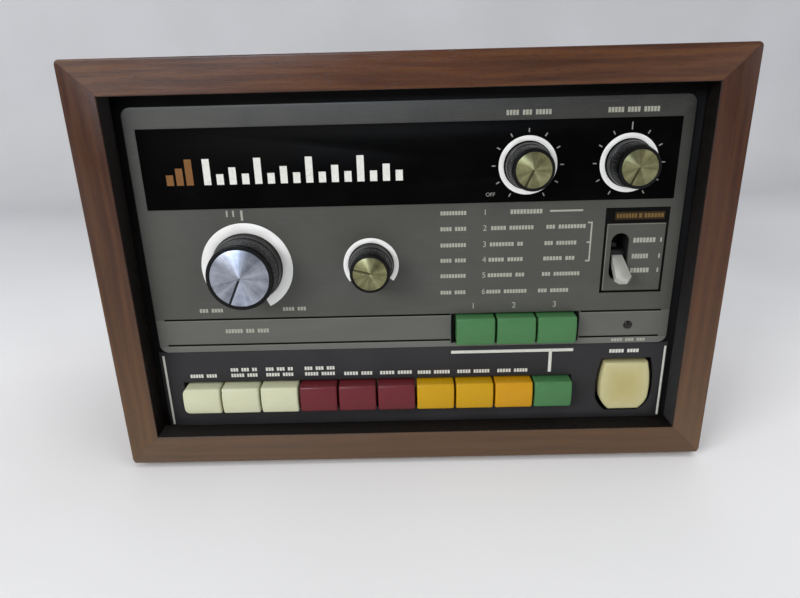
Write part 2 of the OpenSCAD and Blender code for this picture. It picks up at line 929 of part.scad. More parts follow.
// A folded frame: a guide plate held off the chassis by a leg at each end
module bank_frame(x0, x1, z) {
    z0 = z - bank_h / 2;
    z1 = z + bank_h / 2;
    slab(bank_y, switch_y) difference() {
        translate([x0, z0]) square([x1 - x0, z1 - z0]);
        children();
    }
    box(x0, x0 + guide_t, behind_y, switch_y, z0, z1);
    box(x1 - guide_t, x1, behind_y, switch_y, z0, z1);
    box(x0 - leg_w, x0 + guide_t, behind_y, behind_y + guide_t, z0, z1);
    box(x1 - guide_t, x1 + leg_w, behind_y, behind_y + guide_t, z0, z1);
}

module bank_frames() {
    key_out = key_w / 2 + slot_gap + guide_t;
    low_x0 = low_key_x(1) - key_out;
    low_x1 = start_x + start_w / 2 + start_gap + guide_t;
    high_x0 = high_key_x(1) - key_out;
    high_x1 = high_key_x(high_keys) + key_out;
    color("#a8a090") {
        bank_frame(low_x0, low_x1, (low_z + start_z) / 2) {
            for (n = [1:low_keys]) guide_hole(low_key_x(n), low_z, stem_w);
            guide_hole(start_x, start_z, start_stem_w);
        }
        bank_frame(high_x0, high_x1, high_z)
            for (n = [1:high_keys]) guide_hole(high_key_x(n), high_z, stem_w);
    }
}

// A switch behind the frame, with a channel for the stem
module push_switch(x, z, w, h, channel_w) {
    difference() {
        slab(switch_y, switch_y + switch_l) translate([x - w / 2, z - h / 2]) square([w, h]);
        slab(switch_y - 1, switch_y + switch_l - switch_end) guide_hole(x, z, channel_w);
    }
    for (side = [-1, 1])
        box(
            x + side * w / 4 - lug_w / 2, x + side * w / 4 + lug_w / 2,
            switch_y + switch_l, switch_y + switch_l + lug_l, z - lug_t / 2, z + lug_t / 2
        );
}

module key_switches() {
    color("#2a2a2a") {
        for (n = [1:low_keys]) push_switch(low_key_x(n), low_z, switch_w, switch_h, stem_w);
        for (n = [1:high_keys]) push_switch(high_key_x(n), high_z, switch_w, switch_h, stem_w);
    }
}

module start_switch() {
    color("#2a2a2a")
        push_switch(start_x, start_z, start_switch_w, start_switch_h, start_stem_w);
}

module lever() {
    nose = lever_tip_w / 2;
    color("#c8c8c4") translate([lever_x, pivot_y, lever_z]) rotate([lever_swing / 2, 0, 0]) {
        translate([0, 0, -lever_t / 2]) linear_extrude(lever_t) {
            polygon([
                [-lever_root_w / 2, 0], [-lever_tip_w / 2, -lever_l + nose / 2],
                [-lever_tip_w / 2 + nose / 2, -lever_l], [lever_tip_w / 2 - nose / 2, -lever_l],
                [lever_tip_w / 2, -lever_l + nose / 2], [lever_root_w / 2, 0]
            ]);
        }
        rotate([0, 90, 0]) translate([0, 0, lever_side_gap - lever_slot_w / 2])
            cylinder(h = lever_slot_w - 2 * lever_side_gap, r = lever_hub_r);
        box(
            -lever_tail_w / 2, lever_tail_w / 2, 0, lever_tail_l,
            -lever_tail_t / 2, lever_tail_t / 2
        );
        rotate([0, 90, 0]) translate([0, 0, 0.4 - lever_body_w / 2])
            cylinder(h = lever_body_w - 0.8, d = pivot_d);
    }
}

module lever_switch() {
    half_w = lever_body_w / 2;
    half_h = lever_body_h / 2;
    room_w = lever_slot_w / 2;
    room_h = lever_slot_h / 2;
    color("#3a3a3a") {
        difference() {
            box(
                lever_x - half_w, lever_x + half_w, behind_y, behind_y + lever_body_l,
                lever_z - half_h, lever_z + half_h
            );
            box(
                lever_x - room_w, lever_x + room_w, behind_y - 1, behind_y + lever_room_l,
                lever_z - room_h, lever_z + room_h
            );
            translate([lever_x, pivot_y, lever_z]) rotate([0, 90, 0])
                translate([0, 0, -half_w - 1]) cylinder(h = lever_body_w + 2, r = pivot_d / 2 + run_gap);
        }
        for (i = [-1, 0, 1])
            box(
                lever_x - lug_t / 2, lever_x + lug_t / 2,
                behind_y + lever_body_l, behind_y + lever_body_l + lug_l,
                lever_z + i * lug_pitch - lug_w / 2, lever_z + i * lug_pitch + lug_w / 2
            );
    }
}

module lamp() {
    color("#4a1212") {
        intersection() {
            rod(lamp_x, high_z, fascia_y - lamp_dome, behind_y + 1, lamp_d / 2);
            translate([lamp_x, fascia_y - lamp_dome + lamp_d, high_z]) sphere(lamp_d);
        }
        rod(lamp_x, high_z, behind_y, behind_y + 1, lamp_flange_r);
        rod(lamp_x, high_z, behind_y + 1, behind_y + lamp_tail_l, lamp_d / 2);
    }
}

function jack_xs() = [jack_x - case_w / 2, jack_x + jack_pitch - case_w / 2];

module rear_panel() {
    color("#1a1a1a") slab(rear_in_y, rear_out_y) difference() {
        translate([rear_gap - inner_x, floor_z + rear_gap])
            square([inner_w - 2 * rear_gap, ceiling_z - floor_z - 2 * rear_gap]);
        for (p = rear_screw_xz()) translate(p) circle(wood_screw_r + hole_gap);
        for (x = jack_xs()) translate([x, rear_z]) circle(jack_bushing_d / 2 + hole_gap);
        translate([inlet_mid - inlet_body_w / 2 - hole_gap, rear_z - inlet_body_h / 2 - hole_gap])
            square([inlet_body_w + 2 * hole_gap, inlet_body_h + 2 * hole_gap]);
        translate([fuse_mid, rear_z]) circle(fuse_r + hole_gap);
        for (i = [0:vents - 1])
            translate([(i - (vents - 1) / 2) * vent_pitch, vent_z]) {
                translate([-vent_w / 2, -vent_l / 2]) square([vent_w, vent_l]);
                for (z = [-vent_l / 2, vent_l / 2]) translate([0, z]) circle(vent_w / 2);
            }
    }
}

module jacks() {
    color("#2e2e2e") for (x = jack_xs()) difference() {
        union() {
            box(
                x - jack_body_w / 2, x + jack_body_w / 2, rear_in_y - jack_body_l, rear_in_y,
                rear_z - jack_body_h / 2, rear_z + jack_body_h / 2
            );
            rod(x, rear_z, rear_in_y - 1, rear_out_y + jack_nut_t + jack_stand / 2, jack_bushing_d / 2);
        }
        rod(
            x, rear_z, rear_out_y + jack_nut_t + jack_stand / 2 - jack_bore_l, rear_out_y + 10,
            jack_bore_d / 2
        );
    }
}

module jack_nuts() {
    color("#c8c8c4") for (x = jack_xs()) difference() {
        hex_bar(x, rear_z, rear_out_y, rear_out_y + jack_nut_t, jack_nut_af);
        rod(x, rear_z, rear_out_y - 1, rear_out_y + jack_nut_t + 1, jack_bushing_d / 2 + run_gap);
    }
}

// The figure-of-eight outline of the inlet's socket
module socket_outline() {
    reach = (socket_w - socket_h) / 2;
    translate([inlet_mid, rear_z]) {
        translate([-reach, -socket_h / 2]) square([2 * reach, socket_h]);
        for (x = [-reach, reach]) translate([x, 0]) circle(d = socket_h);
    }
}

module mains_inlet() {
    mouth_y = rear_out_y + inlet_flange_t;
    color("#161616") difference() {
        union() {
            box(
                inlet_mid - inlet_body_w / 2, inlet_mid + inlet_body_w / 2,
                rear_in_y - inlet_body_l, rear_out_y,
                rear_z - inlet_body_h / 2, rear_z + inlet_body_h / 2
            );
            box(
                inlet_mid - inlet_flange_w / 2, inlet_mid + inlet_flange_w / 2,
                rear_out_y, mouth_y,
                rear_z - inlet_flange_h / 2, rear_z + inlet_flange_h / 2
            );
        }
        slab(mouth_y - socket_l, mouth_y + 1) socket_outline();
        for (side = [-1, 1])
            rod(
                inlet_mid + side * pin_pitch / 2, rear_z,
                rear_in_y - inlet_body_l - 1, mouth_y, pin_r + run_gap / 2
            );
    }
}

module inlet_pins() {
    bottom_y = rear_out_y + inlet_flange_t - socket_l;
    color("#c8b878") for (side = [-1, 1])
        rod(
            inlet_mid + side * pin_pitch / 2, rear_z,
            rear_in_y - inlet_body_l - lug_l / 2, bottom_y + pin_l, pin_r
        );
}

module fuse_holder() {
    color("#161616") {
        rod(fuse_mid, rear_z, rear_out_y - fuse_body_l, rear_out_y, fuse_r);
        rod(fuse_mid, rear_z, rear_out_y, rear_out_y + fuse_rim_t, fuse_rim_r);
        difference() {
            rod(
                fuse_mid, rear_z, rear_out_y + fuse_rim_t,
                rear_out_y + fuse_rim_t + fuse_cap_t, fuse_cap_r
            );
            box(
                fuse_mid - fuse_cap_r - 1, fuse_mid + fuse_cap_r + 1,
                rear_out_y + fuse_rim_t + fuse_cap_t - 1, rear_out_y + fuse_rim_t + fuse_cap_t + 1,
                rear_z - 0.6, rear_z + 0.6
            );
        }
    }
}

module transformer_core() {
    y0 = core_y - core_l / 2;
    y1 = core_y + core_l / 2;
    color("#7a7a78") {
        slab(y0, y1) difference() {
            translate([core_x - core_w / 2, tray_z]) square([core_w, core_h]);
            translate([core_x - core_window_w / 2, tray_z + (core_h - core_window_h) / 2])
                square([core_window_w, core_window_h]);
        }
        slab(y0, y1) translate([core_x - limb_w / 2, tray_z + 1]) square([limb_w, core_h - 2]);
        for (side = [-1, 1])
            box(
                core_x - core_w / 2 - core_foot_l, core_x + core_w / 2 + core_foot_l,
                side > 0 ? y1 - core_foot : y0, side > 0 ? y1 : y0 + core_foot,
                tray_z, tray_z + core_foot
            );
    }
}

module transformer_coil() {
    z0 = tray_z + (core_h - core_window_h) / 2 + coil_gap;
    z1 = tray_z + (core_h + core_window_h) / 2 - coil_gap;
    half = core_window_w / 2 - coil_gap;
    color("#b07a3a") difference() {
        box(core_x - half, core_x + half, core_y - coil_l / 2, core_y + coil_l / 2, z0, z1);
        box(
            core_x - limb_w / 2 - coil_gap, core_x + limb_w / 2 + coil_gap,
            core_y - core_l / 2 - coil_gap, core_y + core_l / 2 + coil_gap, z0 - 1, z1 + 1
        );
    }
}

// Places of the four standoffs
module at_standoffs() {
    for (x = [pcb_x0 + pcb_inset, pcb_x1 - pcb_inset], y = [pcb_y0 + pcb_inset, pcb_y1 - pcb_inset])
        translate([x, y, 0]) children();
}

module main_board() {
    color("#8a7038") difference() {
        box(pcb_x0, pcb_x1, pcb_y0, pcb_y1, pcb_z, pcb_z + pcb_t);
        at_standoffs() translate([0, 0, pcb_z - 1]) cylinder(h = pcb_t + 2, r = screw_r / 2 + hole_gap);
    }
}

module standoffs() {
    color("#c8b878") at_standoffs() {
        translate([0, 0, tray_z]) cylinder(h = board_gap, r = standoff_r);
        translate([0, 0, pcb_z]) cylinder(h = pcb_t, r = screw_r / 2);
        translate([0, 0, pcb_z + pcb_t]) cylinder(h = 1.6, r = standoff_r - 0.8);
    }
}

// Place of one of count pieces that stand in a row along the board, its margin left at each end
function on_board(i, count, margin) =
    pcb_x0 + margin + i * (pcb_x1 - pcb_x0 - 2 * margin) / (count - 1);

module chips() {
    color("#1e1e1e") for (i = [0:chip_count - 1])
        translate([on_board(i, chip_count, chip_margin), pcb_y0 + chip_setback, pcb_z + pcb_t])
            translate([-chip_w / 2, 0, 0]) cube([chip_w, chip_l, chip_t]);
}

module capacitors() {
    color("#2c4f7a") for (i = [0:cap_count - 1])
        translate([on_board(i, cap_count, cap_margin), pcb_y1 - cap_setback, pcb_z + pcb_t])
            cylinder(h = cap_h, r = cap_r);
}

top_board();
bottom_board();
left_board();
right_board();
glue_blocks();
feet();
case_screws();
rear_screws();
chassis();
rear_panel();
fascia();
key_plate();
title_plate();
dial_rings();
potentiometers();
selector_switch();
control_nuts();
tempo_knob();
tempo_disc();
tempo_shaft();
selector_knob();
selector_disc();
selector_shaft();
volume_knob();
volume_disc();
volume_shaft();
balance_knob();
balance_disc();
balance_shaft();
low_key_1();
low_key_2();
low_key_3();
low_key_4();
low_key_5();
low_key_6();
low_key_7();
low_key_8();
low_key_9();
low_key_10();
high_key_1();
high_key_2();
high_key_3();
start_key();
bank_frames();
key_switches();
start_switch();
lever();
lever_switch();
lamp();
jacks();
jack_nuts();
mains_inlet();
inlet_pins();
fuse_holder();
transformer_core();
transformer_coil();
main_board();
standoffs();
chips();
capacitors();
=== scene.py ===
import json
import random
from math import atan2, cos, hypot, pi, radians, sin

import bmesh
import bpy
from mathutils import Matrix, Vector

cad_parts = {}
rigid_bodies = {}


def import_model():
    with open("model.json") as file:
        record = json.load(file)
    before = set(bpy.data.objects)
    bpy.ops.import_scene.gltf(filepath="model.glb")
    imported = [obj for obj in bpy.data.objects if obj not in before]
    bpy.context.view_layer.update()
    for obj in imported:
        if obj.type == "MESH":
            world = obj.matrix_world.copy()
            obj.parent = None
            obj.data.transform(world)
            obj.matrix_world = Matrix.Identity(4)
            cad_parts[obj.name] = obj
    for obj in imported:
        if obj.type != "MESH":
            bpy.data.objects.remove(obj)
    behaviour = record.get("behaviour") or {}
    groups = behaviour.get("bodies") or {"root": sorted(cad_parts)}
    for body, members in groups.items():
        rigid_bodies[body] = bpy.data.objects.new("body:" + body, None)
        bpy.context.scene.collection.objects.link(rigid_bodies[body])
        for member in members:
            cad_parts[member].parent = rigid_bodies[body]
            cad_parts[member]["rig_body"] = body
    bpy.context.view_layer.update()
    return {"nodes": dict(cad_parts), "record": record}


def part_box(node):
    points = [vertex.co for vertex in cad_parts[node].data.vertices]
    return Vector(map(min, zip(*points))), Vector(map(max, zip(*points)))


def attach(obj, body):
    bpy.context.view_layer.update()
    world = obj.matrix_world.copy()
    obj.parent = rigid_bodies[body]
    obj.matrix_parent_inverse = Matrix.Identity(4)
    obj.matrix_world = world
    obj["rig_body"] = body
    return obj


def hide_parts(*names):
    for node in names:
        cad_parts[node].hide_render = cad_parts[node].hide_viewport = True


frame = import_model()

nodes = frame["nodes"]
mm = 0.001


# ---- Case boards ----
# Four boards of particle board under walnut veneer, glued in mitres at the corners of the sleeve.
# The long outer edges are rounded, the front and rear edges only eased, and the oiled veneer runs
# its grain along each board, so the two grains meet at 45 degrees.

def paint(r, g, b):
    """A colour given in display values from 0 to 255, as the linear colour that a shader takes."""
    linear = [(c / 255 / 12.92) if c <= 10 else ((c / 255 + 0.055) / 1.055) ** 2.4 for c in (r, g, b)]
    return (*linear, 1.0)


def add(beside, kind, inputs=None, **settings):
    """Adds a shader node to a node tree, or to the tree of the socket beside it.

    An input that is a socket is linked, any other is a value.
    """
    tree = beside.id_data
    made = tree.nodes.new("ShaderNode" + kind)
    for name, value in settings.items():
        setattr(made, name, value)
    for name, value in (inputs or {}).items():
        if isinstance(value, bpy.types.NodeSocket):
            tree.links.new(value, made.inputs[name])
        else:
            made.inputs[name].default_value = value
    return made


def calc(operation, a, b=0.0, c=0.0):
    return add(a, "Math", {0: a, 1: b, 2: c}, operation=operation).outputs[0]


def scaled(value, by, plus=0.0):
    return calc("MULTIPLY_ADD", value, by, plus)


def vector(operation, a, b=(0, 0, 0)):
    made = add(a, "VectorMath", {0: a, 1: b}, operation=operation)
    return made.outputs["Value" if operation in ("LENGTH", "DOT_PRODUCT") else 0]


def axis(where, name):
    return add(where, "SeparateXYZ", {"Vector": where}).outputs[name]


def ramp(value, *stops):
    """A colour ramp over value; each stop is a place and a colour, or a place and a grey from 0 to 1."""
    made = add(value, "ValToRGB", {"Fac": value})
    points = made.color_ramp.elements
    while len(points) < len(stops):
        points.new(0.5)
    for point, (place, colour) in zip(points, stops):
        point.position = place
        point.color = colour if isinstance(colour, tuple) else (colour, colour, colour, 1.0)
    return made.outputs["Color"]


def blend(share, a, b):
    """Colour a with a share of colour b over it."""
    return add(share, "Mix", {0: share, 6: a, 7: b}, data_type="RGBA").outputs[2]


def mm_coords(beside, turn=(0, 0, 0), shift=(0, 0, 0)):
    """Object coordinates in millimetres, turned and shifted."""
    where = add(beside, "TexCoord").outputs["Object"]
    return add(where, "Mapping", {
        "Vector": where, "Location": shift, "Rotation": turn, "Scale": (1000, 1000, 1000),
    }).outputs["Vector"]


def new_material(name, turn=(0, 0, 0), shift=(0, 0, 0), **values):
    """A material with one Principled shader, and its coordinates in millimetres.

    The values go straight onto the shader's own sockets.
    """
    made = bpy.data.materials.new(name)
    made.use_nodes = True
    for label, value in values.items():
        made.node_tree.nodes["Principled BSDF"].inputs[label.replace("_", " ")].default_value = value
    return made, mm_coords(made.node_tree, turn, shift)


def dressed(made, tint, rough=None, height=None, strength=0.0, deep=0.0, along=None):
    """Links a material's colour, roughness and bump, deep metres high, and the way its gloss is drawn."""
    tree, fits = made.node_tree, made.node_tree.nodes["Principled BSDF"].inputs
    tree.links.new(tint, fits["Base Color"])
    if rough is not None:
        tree.links.new(rough, fits["Roughness"])
    if height is not None:
        bump = add(tree, "Bump", {"Height": height, "Strength": strength, "Distance": deep})
        tree.links.new(bump.outputs["Normal"], fits["Normal"])
    if along is not None:
        turned = add(tree, "VectorTransform", {"Vector": along}, vector_type="VECTOR",
                     convert_from="OBJECT", convert_to="WORLD")
        tree.links.new(turned.outputs["Vector"], fits["Tangent"])
    return made


def noise(where, scale, detail=3.0, rough=0.5, squeeze=None, out="Fac"):
    """Noise whose scale is in features per millimetre; squeeze stretches it along an axis."""
    if squeeze is not None:
        where = add(where, "Mapping", {"Vector": where, "Scale": squeeze}).outputs["Vector"]
    return add(where, "TexNoise", {
        "Vector": where, "Scale": scale, "Detail": detail, "Roughness": rough,
    }).outputs[out]


def walnut_grain(where):
    """Walnut along X, with its growth rings, fibres and open pores, as colour, roughness and height."""
    drift = noise(where, 0.05, 3, 0.55, (0.12, 1, 1), "Color")
    bent = vector("ADD", where, vector("MULTIPLY", drift, (0, 16, 16)))
    heart = vector("MULTIPLY", vector("ADD", bent, (0, 46, 31)), (0, 1, 1))
    ring = vector("LENGTH", heart)
    band = scaled(calc("SINE", scaled(ring, 1.25)), 0.5, 0.5)
    fibre = noise(where, 1.1, 5, 0.6, (0.035, 1, 1))
    streak = noise(where, 0.28, 4, 0.6, (0.05, 1, 1))
    tone = scaled(fibre, 0.38, scaled(streak, 0.5))
    tone = scaled(band, 0.16, tone)
    colour = ramp(tone, (0.3, paint(55, 31, 15)), (0.46, paint(75, 44, 23)),
                  (0.58, paint(91, 56, 29)), (0.78, paint(109, 73, 40)))
    warm = noise(where, 0.02, 2, 0.5, (0.3, 1, 1))
    colour = blend(ramp(warm, (0.4, 0.0), (0.7, 0.4)), colour, paint(92, 47, 25))
    pores = ramp(noise(where, 3.2, 2, 0.5, (0.07, 1, 1)), (0.6, 0.0), (0.68, 1.0))
    colour = blend(scaled(pores, 0.55), colour, paint(40, 25, 20))
    height = calc("SUBTRACT", scaled(fibre, 0.5), scaled(pores, 0.6))
    return colour, scaled(fibre, 0.2, 0.22), height


def rubbed(where, size=1.0):
    """Masks of soft hand marks and of fine hairlines; size is how many times finer the marks are."""
    patches = ramp(noise(where, 0.045 * size, 5, 0.6), (0.35, 0.0), (0.7, 1.0))
    lines = 0.0
    for turn, seed in ((0.35, 3.0), (-0.6, 17.0)):
        turned = add(where, "Mapping", {
            "Vector": where, "Location": (seed, seed, seed), "Rotation": (0, turn, 0),
            "Scale": (0.03, 1, 1)})
        fine = noise(turned.outputs["Vector"], 2.4, 2, 0.5)
        lines = calc("MAXIMUM", ramp(fine, (0.66, 0.0), (0.72, 1.0)), lines)
    return patches, lines


def walnut(name, turn, shift, deep):
    """Oiled walnut with its grain turned along the board.

    It is painted paler towards the foot, a painted reflection of the pale floor, and darker by deep, a
    painted shade which lists its share at the foot, half way up and at the top. The inside faces of the
    sleeve are coloured near black.
    """
    made, where = new_material(name, turn, shift, Specular_IOR_Level=0.34, Anisotropic=0.75)
    wood, rough, relief = walnut_grain(where)
    straight = mm_coords(where)
    high = axis(straight, "Z")
    half_w, half_h = (case_high.x - case_low.x) / 2 / mm, (case_high.z - case_low.z) / 2 / mm
    beside = calc("ABSOLUTE", axis(straight, "X"))
    above = calc("ABSOLUTE", calc("SUBTRACT", high, case_low.z / mm + half_h))
    into_board = calc("MAXIMUM", calc("SUBTRACT", beside, half_w - board / mm),
                      calc("SUBTRACT", above, half_h - board / mm))
    into_board = scaled(noise(where, 0.8, 3, 0.6), 0.3, into_board)
    # The inside faces of the sleeve are coloured near black, with a soft noisy edge.
    inside_dark = ramp(scaled(into_board, 1.0, 0.5), (0.66, 1.0), (1.0, 0.0))
    risen = calc("DIVIDE", calc("SUBTRACT", high, case_low.z / mm), 2 * half_h)
    # Painted reflection: the wood is painted paler towards the foot, for the pale floor's sheen on it.
    painted_floor_sheen = ramp(risen, (0.0, 0.5), (0.45, 0.13), (0.8, 0.0))
    tint = blend(painted_floor_sheen, wood, paint(108, 92, 70))
    # Painted shade: each board darkens by its share of deep, at the foot, half way up and at the top.
    tint = blend(ramp(risen, *zip((0.03, 0.5, 0.95), deep)), tint, paint(48, 20, 9))
    tint = blend(inside_dark, tint, paint(15, 11, 9))
    rough = scaled(rubbed(where, 1.2)[0], 0.1, rough)
    return dressed(made, tint, scaled(inside_dark, 0.3, rough), relief, 0.35, 0.00015,
                   along=(1, 0, 0) if turn[1] else (0, 0, 1))


def merged(node, flat=0.6):
    """A CAD node's mesh with its loose triangles joined, and with sides under flat degrees made one."""
    shape = bmesh.new()
    shape.from_mesh(nodes[node].data)
    bmesh.ops.remove_doubles(shape, verts=shape.verts, dist=2e-6)
    if flat:
        bmesh.ops.dissolve_limit(shape, angle_limit=radians(flat), verts=shape.verts, edges=shape.edges)
    return shape


def eased(node, width, material, segments=2, light_edge=None):
    """Stands in for a CAD node: its merged copy, with every sharp edge eased by width millimetres.

    light_edge(middle) gives the share of that width for an edge, from the edge's middle point.
    """
    shape = merged(node)
    weights = shape.edges.layers.float.new("bevel_weight_edge")
    for edge in shape.edges:
        if len(edge.link_faces) == 2 and edge.calc_face_angle() > radians(32):
            middle = (edge.verts[0].co + edge.verts[1].co) / 2
            edge[weights] = light_edge(middle) if light_edge else 1.0
    mesh = bpy.data.meshes.new(node + "_eased")
    shape.to_mesh(mesh)
    shape.free()
    mesh.shade_smooth()
    finished(mesh, node + "_eased", nodes[node]["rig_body"], slot_of[node], material,
             stands_for=node, ease=width, segments=segments)


def placed(name, data):
    """Puts a mesh, curve, light or camera in the scene as an object."""
    made = bpy.data.objects.new(name, data)
    bpy.context.scene.collection.objects.link(made)
    return made


def finished(mesh, name, body, slot, *materials, stands_for=None, ease=0.0, segments=2):
    """Puts a mesh in the scene as a piece that rides on a body and takes its finish from a slot.

    stands_for names the CAD node that it replaces; ease rounds its weighted edges, in millimetres.
    """
    piece = placed(name, mesh)
    mesh.materials.clear()
    for material in materials:
        mesh.materials.append(material)
    if ease:
        rounding = piece.modifiers.new("ease", "BEVEL")
        rounding.limit_method = "WEIGHT"
        rounding.width = ease * mm
        rounding.segments = segments
        rounding.profile = 0.5
        rounding.harden_normals = True
        rounding.use_clamp_overlap = True
    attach(piece, body)
    if stands_for:
        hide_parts(stands_for)


slot_of = {part["node"]: part["material_slot"] for part in frame["record"]["subparts"]}
case_low, case_high = Vector(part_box("left_board")[0]), Vector(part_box("right_board")[1])
case_high.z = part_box("top_board")[1].z
case_low.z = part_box("bottom_board")[0].z
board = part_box("left_board")[1].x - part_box("left_board")[0].x


def on_a_mitre(middle):
    """A light easing on the edges of a mitre, so that the joint stays a fine line."""
    side = min(middle.x - case_low.x, case_high.x - middle.x)
    end = min(middle.z - case_low.z, case_high.z - middle.z)
    return 0.22 if abs(side - end) < 0.05 * mm else 1.0


# The last column is painted shade: how much each board is darkened at its foot, half way up and at its top.
for name, turn, shift, deep in (
    ("top_board", (0, 0, 0), (0, 12, 5), (0.1, 0.1, 0.1)),
    ("bottom_board", (0, 0, 0), (310, -25, 60), (0.2, 0.2, 0.2)),
    ("left_board", (0, pi / 2, 0), (140, 30, -12), (0.0, 0.42, 0.62)),
    ("right_board", (0, pi / 2, 0), (-260, -8, 33), (0.0, 0.4, 0.68)),
):
    eased(name, 0.55, walnut("walnut_" + name, turn, shift, deep), segments=3, light_edge=on_a_mitre)


# ---- Glue blocks, feet and screws ----
# Softwood blocks glued in the rear corners take the rear panel's screws. Four turned rubber feet
# stand under the bottom board, and zinc plated screws hold the chassis and the rear panel.

def softwood():
    made, where = new_material("softwood", (0, 0, pi / 2), Roughness=0.75)
    rings = noise(where, 0.5, 4, 0.55, (0.08, 1, 1))
    colour = ramp(rings, (0.3, paint(150, 118, 82)), (0.55, paint(186, 155, 115)),
                  (0.75, paint(170, 134, 92)))
    return dressed(made, colour, None, rings, 0.4, 0.0002)


def skinned(name, colour, rough, specular=0.5, coat=0.0, grain=0.25, grain_size=2.2,
            patch=0.12, scratch=0.15, wear_and_highlight=None):
    """A moulded or painted surface: fine grain, patchy roughness, hairlines and a little dust."""
    made, where = new_material(name, Specular_IOR_Level=specular, Coat_Weight=coat, Coat_Roughness=0.12)
    patches, scratches = rubbed(where)
    lighter = wear_and_highlight or tuple(min(1.0, c * 1.25 + 0.012) for c in colour[:3]) + (1.0,)
    tint = blend(scaled(patches, patch), colour, lighter)
    tint = blend(scaled(scratches, scratch), tint, lighter)
    soft = scaled(noise(where, 0.35, 4, 0.6), 0.1, rough - 0.05)
    soft = scaled(patches, 0.09, soft)
    return dressed(made, tint, scaled(scratches, 0.12, soft),
                   noise(where, grain_size, 2, 0.5), grain, 0.00006)


def plated(name, colour, rough, streak=(0.06, 1, 1)):
    """Plated or brushed metal with fine streaks."""
    made, where = new_material(name, Metallic=1.0)
    lines = noise(where, 3.0, 3, 0.6, streak)
    dull = noise(where, 0.12, 4, 0.6)
    darker = tuple(c * 0.72 for c in colour[:3]) + (1.0,)
    tint = blend(ramp(dull, (0.42, 0.0), (0.7, 0.8)), colour, darker)
    return dressed(made, tint, scaled(lines, 0.22, rough - 0.08), lines, 0.3, 0.00004)


def turned_part(profile, steps=64):
    """A closed solid of revolution about Y; profile lists (distance from the axis, y) in millimetres."""
    shape = bmesh.new()
    points = [shape.verts.new((r * mm, y * mm, 0)) for r, y in profile]
    line = [shape.edges.new(pair) for pair in zip(points, points[1:])]
    bmesh.ops.spin(shape, geom=points + line, cent=(0, 0, 0), axis=(0, 1, 0), dvec=(0, 0, 0),
                   angle=2 * pi, steps=steps, use_merge=True, use_duplicate=False)
    bmesh.ops.remove_doubles(shape, verts=shape.verts, dist=1e-6)
    bmesh.ops.recalc_face_normals(shape, faces=shape.faces)
    return shape


def block(shape, size, at=(0, 0, 0), turn=0.0):
    """Adds a block turned about Y, its size and its middle in metres."""
    verts = bmesh.ops.create_cube(shape, size=1.0)["verts"]
    bmesh.ops.scale(shape, verts=verts, vec=size)
    if turn:
        bmesh.ops.rotate(shape, verts=verts, cent=(0, 0, 0), matrix=Matrix.Rotation(turn, 3, "Y"))
    bmesh.ops.translate(shape, verts=verts, vec=at)


def shifted(shape, x, y, z):
    bmesh.ops.translate(shape, verts=shape.verts, vec=(x, y, z))


def rotated(shape, matrix):
    bmesh.ops.rotate(shape, verts=shape.verts, cent=(0, 0, 0), matrix=matrix)


def bevelled(shape, edges, width, segments):
    bmesh.ops.bevel(shape, geom=edges, offset=width * mm, segments=segments, profile=0.5,
                    affect="EDGES", material=-1)


def as_mesh(shape, name, sharp=30):
    """Turns a bmesh into a mesh, smooth but for edges sharper than sharp degrees."""
    mesh = bpy.data.meshes.new(name)
    shape.to_mesh(mesh)
    shape.free()
    mesh.shade_smooth()
    mesh.set_sharp_from_angle(angle=radians(sharp))
    return mesh


def gather(shapes):
    """Joins several bmeshes into one."""
    joined = bmesh.new()
    for shape in shapes:
        part = bpy.data.meshes.new("part")
        shape.to_mesh(part)
        shape.free()
        joined.from_mesh(part)
        bpy.data.meshes.remove(part)
    return joined


zinc = plated("zinc_plate", paint(172, 172, 166), 0.34)
rubber = skinned("foot_rubber", paint(30, 30, 30), 0.75, specular=0.3, grain=0.6, patch=0.4)

eased("glue_blocks", 0.5, softwood())

foot_low, foot_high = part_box("feet")
foot_tall = (foot_high.z - foot_low.z) / mm
foot_r = 9.0
feet = []
for x in (foot_low.x + foot_r * mm, foot_high.x - foot_r * mm):
    for y in (foot_low.y + foot_r * mm, foot_high.y - foot_r * mm):
        foot = turned_part([
            (0, 0.5), (3.2, 0.5), (3.6, 0), (foot_r - 1.2, 0), (foot_r - 0.3, 0.3), (foot_r, 1.0),
            (foot_r, foot_tall - 0.3), (foot_r - 0.3, foot_tall), (0, foot_tall)])
        rotated(foot, Matrix.Rotation(pi / 2, 3, "X"))
        shifted(foot, x, y, foot_low.z)
        feet.append(foot)
finished(as_mesh(gather(feet), "feet_turned"), "feet_turned", "case", "foot_rubber", rubber,
         stands_for="feet")


def screw(head_r, head_t, shank_r, length):
    """A pan head screw along Y with its head at -Y and a flat top; its seat is at y = 0. Its cross recess
    is only a plate of painted shade, added by place_screws.
    """
    head = turned_part([
        (0, -head_t), (head_r * 0.55, -head_t), (head_r * 0.85, -head_t * 0.8), (head_r, -head_t * 0.35),
        (head_r, 0), (shank_r, 0), (shank_r, length - 1.5), (shank_r * 0.3, length), (0, length)], 32)
    top = [f for f in head.faces if all(v.co.y < (-head_t + 0.02) * mm for v in f.verts)]
    bmesh.ops.dissolve_faces(head, faces=top)
    return head


def cross_recess(size):
    """The dark cross on a screw's head: a thin plate of painted shade that stands for the cross recess."""
    shape = bmesh.new()
    for turn in (0, pi / 2):
        block(shape, (size * mm, 0.06 * mm, size * 0.26 * mm), turn=turn)
    return shape


